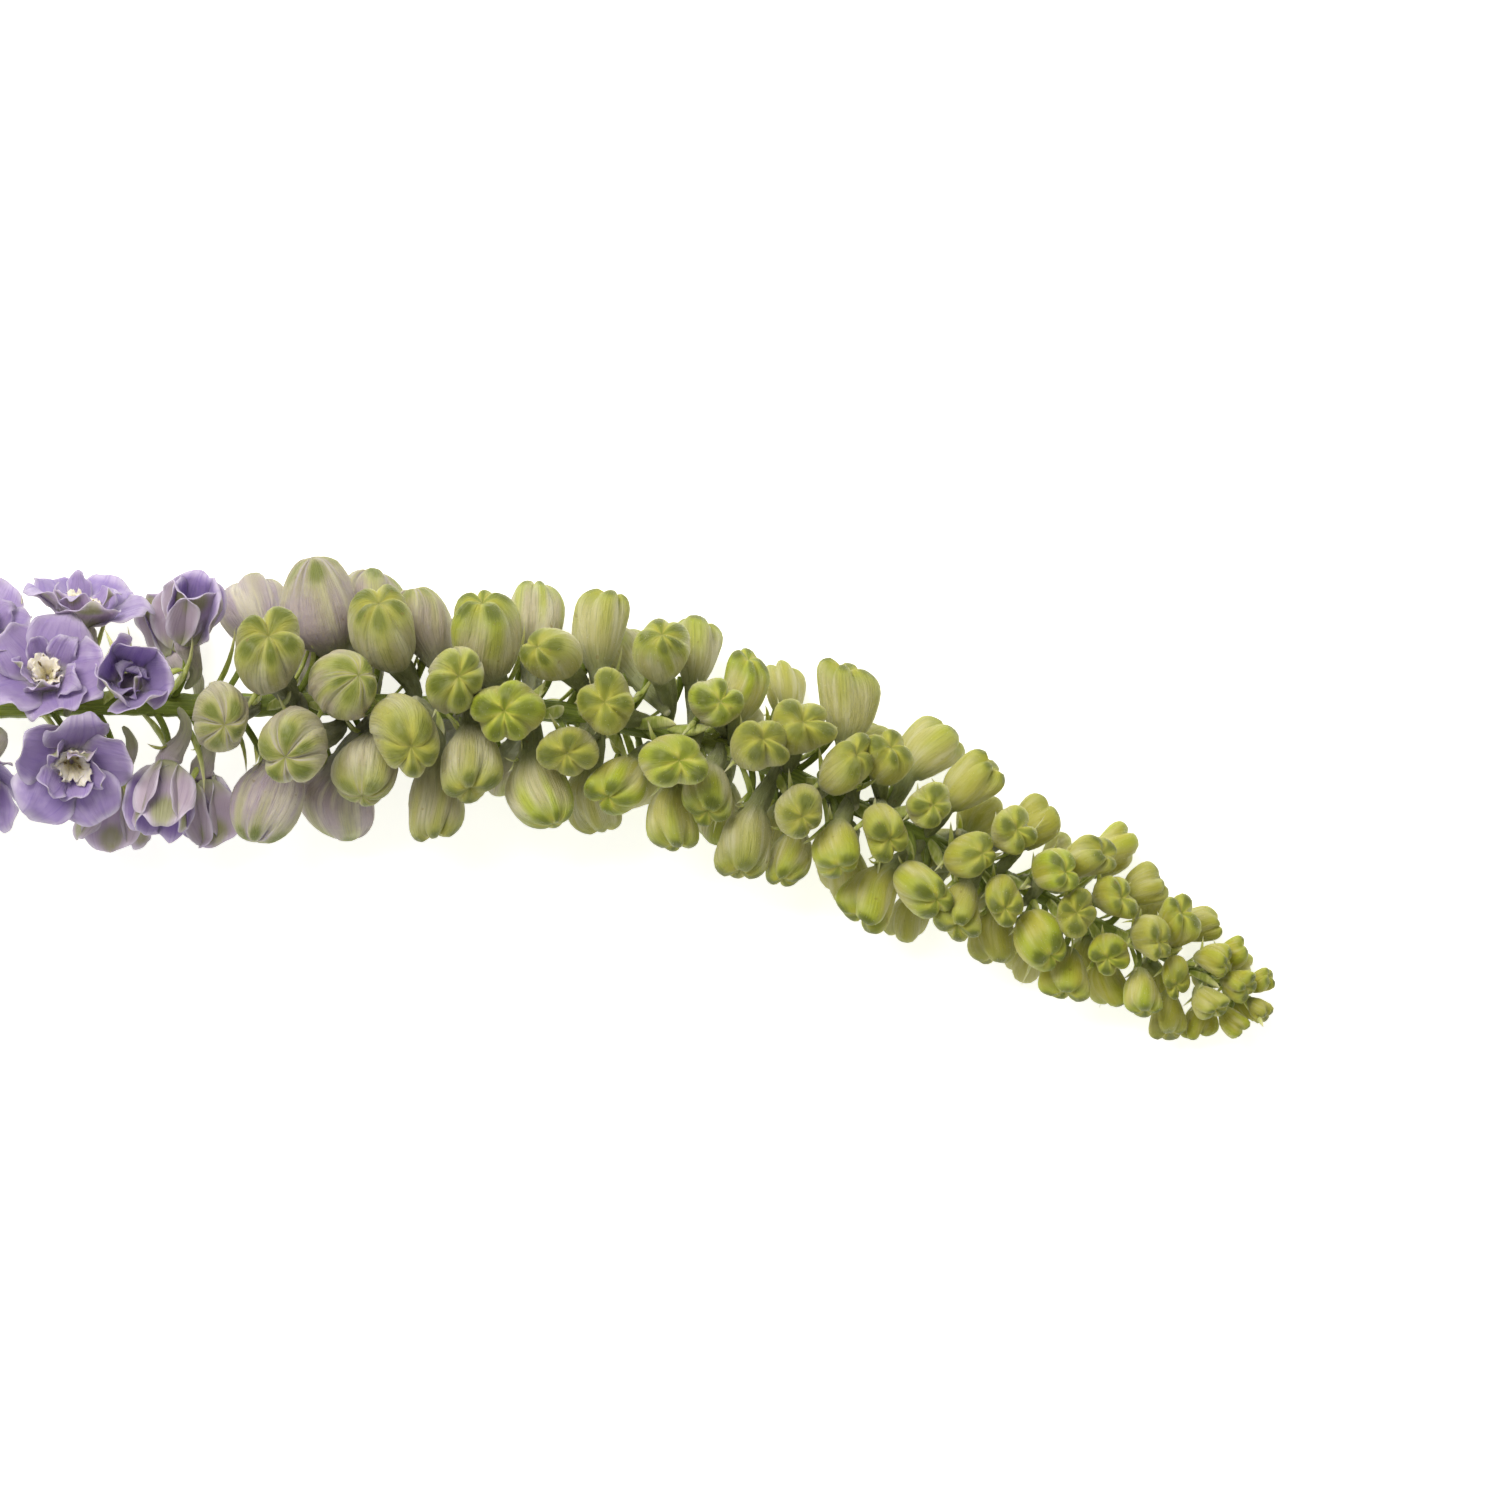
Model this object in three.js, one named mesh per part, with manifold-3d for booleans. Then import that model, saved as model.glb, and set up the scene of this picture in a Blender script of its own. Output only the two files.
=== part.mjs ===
// A cut delphinium flower spike lying on a table. Millimetres, +Z up, the spike's tip towards +X.
// One green body carries everything: the stem, the flower stalks, the bracts and the unripe buds that grow
// on it. Each open floret, half open flower and ripe bud is a solid of its own, over the end of its stalk.
import * as THREE from "three";
import { mergeVertices } from "three/addons/utils/BufferGeometryUtils.js";
import Module from "manifold-3d";

const wasm = await Module();
wasm.setup();

// ---- driving dimensions ----

const CUT_X = -236; // the cut end of the stem
const TIP_X = 205; // the growing tip
const LOWEST_FLOWER_X = -152;
const STEM_Y = 29; // where the straight part of the stem runs
const DROOP = { x: 47, blend: 19, slope: 0.5 }; // the upper half leans away to -Y
const STEM_HEIGHT = [
  [-236, 2.2], [-145, 21], [-95, 24], [30, 23], [117, 19], [172, 14], [195, 10], [208, 8],
];
const STEM_RADIUS = [[-236, 3.5], [-127, 3.1], [0, 2.7], [117, 2.1], [172, 1.5], [208, 0.8]];

// Along the stem: how far each stage of flower reaches, and how far apart the flowers are.
const STAGES = [["floret", -105], ["opening", -77], ["ripe", -12], ["green", 195], ["tiny", 208]];
const SPACING = [
  [-152, 8.2], [-105, 5.6], [-76, 4], [-12, 3.4], [40, 2.9], [117, 2.5], [172, 2.2], [195, 1.8], [208, 1.5],
];
const TURNED_UP = 0.42; // how far the flowers underneath are turned up by the table, 0 for not at all
const TILT = 35; // degrees, the range over which flowers nod to either side
const FIVE_LOBES_FROM = 7.4; // radius; smaller buds show four lobes
const SPURS_UNTIL = 140; // nearer to the tip the spurs have not grown yet
const PEDICEL_LENGTH = [
  [-152, 18], [-76, 16], [-12, 15], [84, 14], [150, 11], [172, 8.5], [195, 6], [208, 3],
];
const BUD_RADIUS = [
  [-92, 9.6], [-76, 9.2], [-40, 8.4], [-12, 7.6], [40, 6.9],
  [117, 6.1], [150, 5.7], [172, 5.1], [190, 4.2], [208, 3],
];
const BUD_PLUMPNESS = [[-92, 2.6], [33, 2.7], [117, 2.6], [172, 2.3], [208, 2]]; // body length over radius
const SPUR_SHARE = [[-152, 0.6], [117, 0.6], [172, 0.45], [208, 0.2]]; // spur length over body length
// degrees a bud leans to the tip
const LIFT = [[-152, 2], [33, 5], [117, 10], [172, 26], [195, 45], [208, 70]];
const SEPAL = { length: 18, thick: 0.7, overlap: 1.5 }; // one edge lies over the next sepal
const SEPAL_HALF_WIDTH = [[0, 1.2], [0.5, 8.4], [1, 5]];
// degrees the sepals stand up from flat
const OPENING = { floret: [[0, 30]], opening: [[-105, 44], [-77, 62]] };
const CUPPING = { floret: 0, opening: 5 }; // how far their tips curl in
const NARROWING = { floret: 1, opening: 0.8 };
const FLORET_CORE = 3.6; // radius of the receptacle where the sepals, spur and stalk meet
const FLORET_SPUR = 14;
const EYE = { radius: 5.2, height: 4.6, lobes: 4 };
const PEDICEL_RADIUS = 0.85;
const BRACT = { length: 12, radius: 0.75, every: 6 };

const CLEARANCE = 0.3; // between a bloom and the stalk that it sits on
const PRESSED = 0.7; // how far the table flattens what lies on it
const GOLDEN_ANGLE = 137.508;

// ---- small tools ----

const radians = THREE.MathUtils.degToRad;
const { lerp } = THREE.MathUtils;

function ramp(keys, x) {
  const next = keys.findIndex(([at]) => at >= x);
  if (next === -1) return keys[keys.length - 1][1];
  if (next === 0) return keys[0][1];
  const [x0, y0] = keys[next - 1];
  const [x1, y1] = keys[next];
  return lerp(y0, y1, (x - x0) / (x1 - x0));
}

// A repeatable draw from 0 to 1 for flower i; each use has its own number.
function chance(i, use) {
  const s = Math.sin(i * 12.9898 + use * 78.233) * 43758.5453;
  return s - Math.floor(s);
}

const mix = (...terms) => terms.reduce((sum, [v, k]) => sum.addScaledVector(v, k), new THREE.Vector3());

// ---- the stem's line and the flowers on it ----

function stemPoint(x) {
  const bend = DROOP.slope * DROOP.blend * Math.log(1 + Math.exp((x - DROOP.x) / DROOP.blend));
  const half = 12; // the height is averaged over this much of the stem, so that it has no corners
  const z = (ramp(STEM_HEIGHT, x - half) + ramp(STEM_HEIGHT, x) + ramp(STEM_HEIGHT, x + half)) / 3;
  return new THREE.Vector3(x, STEM_Y - bend, z);
}

function stemFrame(x) {
  const point = stemPoint(x);
  const along = stemPoint(x + 0.5).sub(stemPoint(x - 0.5)).normalize();
  const up = new THREE.Vector3(0, 0, 1);
  up.addScaledVector(along, -up.dot(along)).normalize();
  return { point, along, up, side: up.clone().cross(along) };
}

// A flower faces out from the stem, leaning to the tip by its lift and to one side by its tilt.
function faceOut(f) {
  const away = f.head.clone().sub(f.point);
  f.out = away.addScaledVector(f.along, -away.dot(f.along)).normalize();
  const facing = mix([f.out, Math.cos(f.lift)], [f.along, Math.sin(f.lift)]);
  f.dorsal = mix([f.along, Math.cos(f.lift)], [f.out, -Math.sin(f.lift)]);
  f.axis = facing.applyAxisAngle(f.dorsal, f.tilt);
  f.lateral = f.axis.clone().cross(f.dorsal);
}

function layFlowers() {
  const flowers = [];
  for (let x = LOWEST_FLOWER_X; x < TIP_X; x += ramp(SPACING, x)) {
    const i = flowers.length;
    const [stage] = STAGES.find(([, until]) => x < until);
    const { point, along, up, side } = stemFrame(x);
    const free = radians(i * GOLDEN_ANGLE + 24 * (chance(i, 1) - 0.5));
    const turn = free - TURNED_UP * Math.sin(free);
    const f = { i, x, stage, point, along };
    f.pedicel = ramp(PEDICEL_LENGTH, x) * (0.72 + 0.45 * chance(i, 2));
    f.lift = radians(ramp(LIFT, x) + 36 * (chance(i, 3) - 0.5));
    f.tilt = radians(TILT * (chance(i, 5) - 0.5));
    f.radius = ramp(BUD_RADIUS, x) * (0.88 + 0.24 * chance(i, 4));
    f.length = isOpen(f) ? 2 * FLORET_CORE : f.radius * ramp(BUD_PLUMPNESS, x);
    f.spur = Math.min(f.length * ramp(SPUR_SHARE, x), 0.6 * f.pedicel);
    f.reach = f.pedicel + f.length / 2;
    const out = mix([up, Math.cos(turn)], [side, Math.sin(turn)]);
    f.head = mix([point, 1], [out, 0.95 * f.reach], [along, 0.3 * f.reach]);
    faceOut(f);
    flowers.push(f);
  }
  return flowers;
}

const isOpen = (f) => f.stage in OPENING;
const openingOf = (f) => ramp(OPENING[f.stage], f.x);

// The balls that stand for a flower while the flowers make room for each other.
function balls(f) {
  if (isOpen(f)) {
    const opening = radians(openingOf(f));
    const wide = 0.6 * SEPAL.length * Math.cos(opening);
    const high = 0.6 * SEPAL.length * Math.sin(opening) + 2;
    const ring = [0, 1, 2, 3, 4].map((k) => {
      const a = radians(72 * k);
      const round = [[f.dorsal, wide * Math.cos(a)], [f.lateral, wide * Math.sin(a)]];
      return { at: mix([f.head, 1], [f.axis, high], ...round), r: 5.6 };
    });
    return [{ at: mix([f.head, 1], [f.axis, 2]), r: 5 }, ...ring];
  }
  const shift = f.length / 2 - f.radius;
  return [shift, -shift].map((k) => ({ at: mix([f.head, 1], [f.axis, k]), r: 0.93 * f.radius }));
}

const SETTLING_ROUNDS = 70;
const NEIGHBOUR = 48; // flowers farther apart than this never touch

function makeRoom(flowers) {
  for (let round = 0; round < SETTLING_ROUNDS; round++) {
    const all = flowers.map(balls);
    const push = flowers.map(() => new THREE.Vector3());
    for (let i = 0; i < flowers.length; i++) {
      for (let j = i + 1; j < flowers.length && flowers[j].x - flowers[i].x < NEIGHBOUR; j++) {
        for (const a of all[i]) {
          for (const b of all[j]) {
            const apart = a.at.clone().sub(b.at);
            const overlap = a.r + b.r + 2 * CLEARANCE - apart.length();
            if (overlap <= 0) continue;
            apart.setLength(0.3 * overlap);
            push[i].add(apart);
            push[j].sub(apart);
          }
        }
      }
      for (const { at, r } of all[i]) {
        push[i].z += 0.6 * Math.max(0, r - PRESSED - at.z);
        const away = at.clone().sub(stemPoint(at.x));
        const sunk = r + ramp(STEM_RADIUS, at.x) + 1.5 - away.length();
        if (sunk > 0) push[i].add(away.setLength(0.4 * sunk));
      }
    }
    flowers.forEach((f, i) => {
      const away = f.head.clone().add(push[i]).sub(f.point);
      away.setLength(THREE.MathUtils.clamp(away.length(), 0.88 * f.reach, 1.22 * f.reach));
      f.head.copy(f.point).add(away);
      faceOut(f);
    });
  }
  return flowers;
}

// ---- shapes: a sphere or a sheet, moved point by point to where a formula says ----

function closed(geometry) {
  geometry.deleteAttribute("normal");
  geometry.deleteAttribute("uv");
  return mergeVertices(geometry, 1e-5);
}

// A closed body whose point at angle a round ring t, from 0 at one end to 1 at the other, is place(t, a).
function lofted(sides, rings, place) {
  const g = new THREE.SphereGeometry(1, sides, rings);
  const p = g.getAttribute("position");
  for (let i = 0; i < p.count; i++) {
    const ring = Math.floor(i / (sides + 1));
    const at = place(ring / rings, (2 * Math.PI * (i % (sides + 1))) / sides, ring === 0 || ring === rings);
    p.setXYZ(i, at.x, at.y, at.z);
  }
  return closed(g);
}

// A blade of even thickness round the sheet place(u, v), u across from -1 to 1 and v along from 0 to 1.
function blade(across, lengthways, thick, place) {
  const points = [];
  for (const face of [0.5, -0.5]) {
    for (let j = 0; j <= lengthways; j++) {
      for (let i = 0; i <= across; i++) {
        const u = (2 * i) / across - 1;
        const v = j / lengthways;
        const d = 0.02;
        const du = place(u + d, v).sub(place(u - d, v));
        const dv = place(u, v + d).sub(place(u, v - d));
        points.push(place(u, v).addScaledVector(du.cross(dv).normalize(), face * thick));
      }
    }
  }
  const row = across + 1;
  const under = row * (lengthways + 1);
  const index = [];
  for (let j = 0; j < lengthways; j++) {
    for (let i = 0; i < across; i++) {
      const a = j * row + i;
      const b = a + under;
      index.push(a, a + 1, a + row + 1, a, a + row + 1, a + row);
      index.push(b, b + row + 1, b + 1, b, b + row, b + row + 1);
    }
  }
  const rim = [];
  for (let i = 0; i < across; i++) rim.push(i);
  for (let j = 0; j < lengthways; j++) rim.push(j * row + across);
  for (let i = across; i > 0; i--) rim.push(lengthways * row + i);
  for (let j = lengthways; j > 0; j--) rim.push(j * row);
  rim.forEach((a, k) => {
    const b = rim[(k + 1) % rim.length];
    index.push(a, under + a, under + b, a, under + b, b);
  });
  return new THREE.BufferGeometry().setFromPoints(points).setIndex(index);
}

// ---- solids ----

function solid(geometry) {
  const mesh = new wasm.Mesh({
    numProp: 3,
    vertProperties: new Float32Array(geometry.getAttribute("position").array),
    triVerts: new Uint32Array(geometry.index.array),
  });
  mesh.merge();
  return new wasm.Manifold(mesh);
}

const joined = (solids) => wasm.Manifold.union(solids);

function wholePiece(s) {
  return s.decompose().reduce((best, piece) => (piece.volume() > best.volume() ? piece : best));
}

function meshOf(name, s, look) {
  const { vertProperties, triVerts } = s.getMesh();
  const g = new THREE.BufferGeometry();
  g.setAttribute("position", new THREE.BufferAttribute(new Float32Array(vertProperties), 3));
  g.setIndex(new THREE.BufferAttribute(new Uint32Array(triVerts), 1));
  g.computeVertexNormals();
  const mesh = new THREE.Mesh(g, new THREE.MeshStandardMaterial({ ...LOOKS[look], metalness: 0 }));
  mesh.name = name;
  return mesh;
}

// ---- the pieces; "grow" makes the slightly larger copy that cuts a neighbour's clearance ----

function stemBody(grow) {
  const STEPS = 15;
  return solid(lofted(8, STEPS, (t, a, end) => {
    const x = lerp(CUT_X, TIP_X, Math.max(0, Math.min(1, (t * STEPS - 1) / (STEPS - 2))));
    const { point, up, side } = stemFrame(x);
    const r = end ? 0 : ramp(STEM_RADIUS, x) + grow;
    return mix([point, 1], [up, r * Math.cos(a)], [side, r * Math.sin(a)]);
  }));
}

function stalkCurve(f) {
  const below = isOpen(f) ? 0 : 0.3 * f.radius;
  const joint = mix([f.head, 1], [f.axis, 1.5 - f.length / 2], [f.dorsal, -below]);
  const bend = 0.55 * joint.distanceTo(f.point);
  const knee = mix([f.point, 1], [f.out, 0.75 * bend], [f.along, 0.62 * bend]);
  return new THREE.QuadraticBezierCurve3(f.point, knee, joint);
}

function stalk(f, grow) {
  const SIDES = 3;
  const RINGS = f.x > 0 ? 3 : 4;
  const curve = stalkCurve(f);
  const thin = f.x > 172 ? 0.75 : 1; // the youngest stalks are thinner
  return solid(lofted(SIDES, RINGS, (t, a, end) => {
    const u = Math.max(0, Math.min(1, (t * RINGS - 1) / (RINGS - 2)));
    const tangent = curve.getTangent(u);
    const across = f.lateral.clone().cross(tangent).normalize();
    const r = end ? 0 : PEDICEL_RADIUS * thin + 1.6 * grow;
    const deep = across.clone().cross(tangent);
    const past = end ? (t - 0.5) * 2 * grow : 0;
    return mix([curve.getPoint(u), 1], [across, r * Math.cos(a)], [deep, r * Math.sin(a)], [tangent, past]);
  }));
}

function bract(f, grow) {
  const size = BRACT.length * Math.min(1, f.length / 14);
  const point = mix([f.point, 1], [f.along, -2.5]);
  const tip = mix([point, 1], [f.out, 0.62 * size], [f.along, 0.8 * size]);
  const curve = new THREE.LineCurve3(point, tip);
  const tangent = curve.getTangent(0);
  const across = f.lateral.clone().cross(tangent).normalize();
  return solid(lofted(3, 3, (t, a, end) => {
    const r = end ? 0 : [0, BRACT.radius, 0.8 * BRACT.radius][Math.round(3 * t)] + grow;
    return mix([curve.getPoint(t), 1], [across, r * Math.cos(a)], [f.lateral, -r * Math.sin(a)]);
  }));
}

// A bud's rings, from the tip of its spur, at along -1, by its base, at 0, to its closed tip, at 1.
const LARGE_BUD = [[-1, 0], [0.02, 0.36], [0.42, 1], [0.9, 0.7], [0.93, 0]];
const SMALL_BUD = [[-1, 0], [0.04, 0.42], [0.45, 1], [0.92, 0.6], [0.92, 0]];
const TIP_BUD = [[-0.05, 0], [0.45, 1], [0.9, 0.62], [0.92, 0]];

function budLine(f, along) {
  const base = mix([f.head, 1], [f.axis, -f.length / 2]);
  if (along >= 0) return base.addScaledVector(f.axis, along * f.length);
  const rise = f.radius * (-0.9 * along - 0.35 * along * along);
  return mix([base, 1], [f.axis, f.spur * along], [f.dorsal, rise]);
}

function bud(f, grow) {
  const large = f.radius > FIVE_LOBES_FROM;
  const rings = f.x > SPURS_UNTIL ? TIP_BUD : large ? LARGE_BUD : SMALL_BUD;
  const sides = f.stage === "tiny" ? 6 : large ? 10 : 8;
  return solid(lofted(sides, rings.length - 1, (t, a, end) => {
    const [along, share] = rings[Math.round(t * (rings.length - 1))];
    const grooves = 1 - 0.24 * Math.max(0, along) * Math.sin((sides / 4) * a) ** 2;
    const r = end ? 0 : f.radius * share * grooves + grow;
    const past = end ? grow * Math.sign(t - 0.5) : 0;
    const round = [[f.dorsal, r * Math.cos(a)], [f.lateral, -r * Math.sin(a)]];
    return mix([budLine(f, along), 1], [f.axis, past], ...round);
  }));
}

function sepal(f, k, grow) {
  const turn = radians(72 * k + 5 * (chance(f.i, 10 + k) - 0.5));
  const out = mix([f.dorsal, Math.cos(turn)], [f.lateral, Math.sin(turn)]);
  const across = mix([f.dorsal, -Math.sin(turn)], [f.lateral, Math.cos(turn)]);
  const opening = radians(openingOf(f) + 6 * (chance(f.i, 20 + k) - 0.5));
  const dir = mix([out, Math.cos(opening)], [f.axis, Math.sin(opening)]);
  const inner = mix([out, -Math.sin(opening)], [f.axis, Math.cos(opening)]);
  return solid(blade(2, 2, SEPAL.thick + 2 * grow, (u, v) => {
    const half = NARROWING[f.stage] * ramp(SEPAL_HALF_WIDTH, v) + grow;
    const far = 1.5 + (SEPAL.length + grow) * (v - 0.16 * u * u * v);
    const lift = SEPAL.overlap * u * Math.min(1, 3 * v) + CUPPING[f.stage] * v * v + 1.6 * v * (1 - v);
    return mix([f.head, 1], [dir, far], [across, u * half], [inner, lift]);
  }));
}

function floretCore(f, grow) {
  return solid(lofted(5, 2, (t, a, end) => {
    const r = end ? 0 : FLORET_CORE + grow;
    const z = -(FLORET_CORE + grow) * Math.cos(Math.PI * t);
    return mix([f.head, 1], [f.axis, z], [f.dorsal, r * Math.cos(a)], [f.lateral, -r * Math.sin(a)]);
  }));
}

function floretSpur(f, grow) {
  return solid(lofted(4, 3, (t, a, end) => {
    const r = end ? 0 : lerp(0.8, 3, t) + grow;
    const back = FLORET_SPUR * (1 - t);
    const rise = 2.2 + 3.2 * Math.sin(Math.PI * (1 - t)) + 1.5 * (1 - t);
    return mix([f.head, 1], [f.axis, -back], [f.dorsal, rise * (1 - t * t) + r * Math.cos(a)],
      [f.lateral, -r * Math.sin(a)]);
  }));
}

function floret(f, grow) {
  const sepals = [0, 1, 2, 3, 4].map((k) => sepal(f, k, grow));
  return joined([floretCore(f, grow), floretSpur(f, grow), ...sepals]);
}

// The small lobed petals in the middle of an open floret.
const EYE_RINGS = [[2.8, 0], [EYE.height + 1, 1], [EYE.height + 2, 0.6], [EYE.height + 1.2, 0]];

function eye(f) {
  return solid(lofted(2 * EYE.lobes, EYE_RINGS.length - 1, (t, a, end) => {
    const [up, share] = EYE_RINGS[Math.round(t * (EYE_RINGS.length - 1))];
    const lobed = 1 - 0.38 * Math.sin((EYE.lobes / 2) * a) ** 2;
    const r = end ? 0 : EYE.radius * share * lobed;
    return mix([f.head, 1], [f.axis, up], [f.dorsal, r * Math.cos(a)], [f.lateral, -r * Math.sin(a)]);
  }));
}

// ---- assembly ----

const flowers = makeRoom(layFlowers());
const loose = (f) => isOpen(f) || f.stage === "ripe";
const bractOn = (f) => f.stage !== "tiny" && f.i % BRACT.every === 0;

function greenBody(grow) {
  const parts = [stemBody(grow), ...flowers.map((f) => stalk(f, grow))];
  parts.push(...flowers.filter(bractOn).map((f) => bract(f, grow)));
  parts.push(...flowers.filter((f) => !loose(f)).map((f) => bud(f, grow)));
  return joined(parts);
}

const table = new THREE.BoxGeometry(600, 400, 100).translate(0, 0, -50);
const tableTop = solid(closed(table));
const tableClear = (s) => s.subtract(tableTop);

const green = wholePiece(tableClear(greenBody(0)));
const greenRoom = greenBody(CLEARANCE);

const pieces = [["stem_with_green_buds", green, "green"]];
const taken = [];
for (const f of flowers.filter(loose)) {
  const make = isOpen(f) ? floret : bud;
  const near = taken.filter((other) => other.f.head.distanceTo(f.head) < NEIGHBOUR);
  let bloom = tableClear(make(f, 0)).subtract(greenRoom);
  for (const other of near) bloom = bloom.subtract(other.room);
  bloom = wholePiece(bloom);
  const kind = { floret: "floret", opening: "opening_flower", ripe: "ripe_bud" }[f.stage];
  const number = String(pieces.filter(([name]) => name.startsWith(kind)).length + 1).padStart(2, "0");
  pieces.push([`${kind}_${number}`, bloom, f.stage]);
  taken.push({ f, room: make(f, CLEARANCE), number });
}
for (const { f, number } of taken.filter((other) => other.f.stage === "floret")) {
  let lobes = tableClear(eye(f)).subtract(greenRoom);
  for (const other of taken) {
    if (other.f.head.distanceTo(f.head) < NEIGHBOUR) lobes = lobes.subtract(other.room);
  }
  pieces.push([`eye_${number}`, wholePiece(lobes), "eye"]);
}

const LOOKS = {
  green: { color: "#9aa25c", roughness: 0.6 },
  ripe: { color: "#b5a8b4", roughness: 0.6 },
  opening: { color: "#a594c0", roughness: 0.6 },
  floret: { color: "#8f80b8", roughness: 0.55 },
  eye: { color: "#dcd5c0", roughness: 0.7 },
};

// The origin is at the middle of the whole, on the table.
const plant = new THREE.Group();
for (const [name, s, look] of pieces) plant.add(meshOf(name, s, look));
const middle = new THREE.Box3().setFromObject(plant).getCenter(new THREE.Vector3());
plant.position.set(-middle.x, -middle.y, 0);

const spike = new THREE.Group();
spike.add(plant);

export default spike;
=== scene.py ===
import math

import bpy
import numpy as np
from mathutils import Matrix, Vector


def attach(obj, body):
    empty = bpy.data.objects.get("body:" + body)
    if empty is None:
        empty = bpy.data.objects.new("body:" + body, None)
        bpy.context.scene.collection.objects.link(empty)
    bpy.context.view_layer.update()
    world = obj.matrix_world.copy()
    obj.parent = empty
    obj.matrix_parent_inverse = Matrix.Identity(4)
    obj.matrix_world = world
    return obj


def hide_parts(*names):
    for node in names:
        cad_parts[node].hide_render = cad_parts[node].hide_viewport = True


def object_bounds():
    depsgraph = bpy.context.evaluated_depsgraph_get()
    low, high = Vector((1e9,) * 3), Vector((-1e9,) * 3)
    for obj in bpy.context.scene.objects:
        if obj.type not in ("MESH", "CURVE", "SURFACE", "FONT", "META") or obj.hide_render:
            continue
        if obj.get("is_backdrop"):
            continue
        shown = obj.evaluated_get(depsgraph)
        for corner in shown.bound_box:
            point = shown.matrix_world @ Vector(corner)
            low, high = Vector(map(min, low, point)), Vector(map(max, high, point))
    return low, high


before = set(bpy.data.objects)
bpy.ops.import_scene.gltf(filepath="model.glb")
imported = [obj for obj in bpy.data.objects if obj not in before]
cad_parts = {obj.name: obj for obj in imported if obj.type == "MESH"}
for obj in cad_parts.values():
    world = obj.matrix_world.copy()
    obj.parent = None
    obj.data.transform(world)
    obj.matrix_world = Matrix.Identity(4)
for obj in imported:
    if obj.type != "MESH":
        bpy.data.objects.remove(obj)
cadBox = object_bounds()

# A cut delphinium spike that lies on a table. The layout is worked out in millimetres, and inFrame turns it
# into metres in the part's own frame. The flowers sit where the solids' own rules put them.
layoutRules = {
    "shift": (13.3074, -3.3843, 0.0),  # from the layout's own origin to the part's
    "cutX": -236.0,
    "tipX": 205.0,
    "lowestFlowerX": -152.0,
    "stemY": 29.0,
    "droop": {"x": 47.0, "blend": 19.0, "slope": 0.5},
    "stemHeight": [(-236, 2.2), (-145, 21), (-95, 24), (30, 23), (117, 19), (172, 14), (195, 10), (208, 8)],
    "evened": 12.0,  # how far to either side the stem's height is averaged
    "stemRadius": [(-236, 3.5), (-127, 3.1), (0, 2.7), (117, 2.1), (172, 1.5), (208, 0.8)],
    "stages": [("floret", -105), ("opening", -77), ("ripe", -12), ("green", 195), ("tiny", 208)],
    "spacing": [
        (-152, 8.2), (-105, 5.6), (-76, 4), (-12, 3.4), (40, 2.9), (117, 2.5), (172, 2.2), (195, 1.8),
        (208, 1.5),
    ],
    "goldenAngle": 137.508,
    "turnedUp": 0.42,  # how far the flowers underneath are turned up by the table
    "tilt": 35.0,  # degrees, the range over which flowers nod to either side
    "pedicel": [(-152, 18), (-76, 16), (-12, 15), (84, 14), (150, 11), (172, 8.5), (195, 6), (208, 3)],
    "budRadius": [
        (-92, 9.6), (-76, 9.2), (-40, 8.4), (-12, 7.6), (40, 6.9), (117, 6.1), (150, 5.7), (172, 5.1),
        (190, 4.2), (208, 3),
    ],
    "plumpness": [(-92, 2.6), (33, 2.7), (117, 2.6), (172, 2.3), (208, 2)],
    "spurShare": [(-152, 0.6), (117, 0.6), (172, 0.45), (208, 0.2)],
    "lift": [(-152, 2), (33, 5), (117, 10), (172, 26), (195, 45), (208, 70)],
    "sepalLength": 18.0,
    "opening": {"floret": [(0, 30)], "opening": [(-105, 44), (-77, 62)]},
    "core": 3.6,
    "clearance": 0.3,
    "stemClearance": 1.5,
    "pressed": 0.7,
    "rounds": 70,
    "give": {"flowers": 0.3, "table": 0.6, "stem": 0.4},  # the share of an overlap that one round takes away
    "stretch": (0.88, 1.22),  # the least and the most of its own reach that a flower may end at
    "neighbour": 48.0,
    "film": 1.0,  # how thick the layer is that what would sink into the table is flattened into
}


def ramp(keys, x):
    xs, ys = zip(*keys)
    return np.interp(x, xs, ys)


def rule(name, x):
    return ramp(layoutRules[name], x)


def chance(i, use):  # a repeatable draw from 0 to 1 for flower i
    s = math.sin(i * 12.9898 + use * 78.233) * 43758.5453
    return s - math.floor(s)


def unit(v):
    return v / np.linalg.norm(v, axis=-1, keepdims=True)


def ease(low, high, x):  # a smooth step from 0 at low to 1 at high
    t = np.clip((np.asarray(x, float) - low) / (high - low), 0, 1)
    return t * t * (3 - 2 * t)


def hump(x, width):  # 1 at 0, and falling away on both sides
    return np.exp(-((x / width) ** 2))


def column(values):
    return np.asarray(values)[:, None]


def triples(x, y, z):
    return np.stack(np.broadcast_arrays(x, y, z), -1)


def stemPoint(x):
    x = np.asarray(x, float)
    droop, evened = layoutRules["droop"], layoutRules["evened"]
    bend = droop["slope"] * droop["blend"] * np.log1p(np.exp((x - droop["x"]) / droop["blend"]))
    height = sum(rule("stemHeight", x + step) for step in (-evened, 0, evened)) / 3
    return np.stack([x, layoutRules["stemY"] - bend, height], -1)


def stemFrame(x):
    x = np.asarray(x, float)
    along = unit(stemPoint(x + 0.5) - stemPoint(x - 0.5))
    up = np.zeros_like(along)
    up[..., 2] = 1
    up = unit(up - along * np.sum(up * along, -1, keepdims=True))
    return stemPoint(x), along, up, np.cross(up, along)


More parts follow.
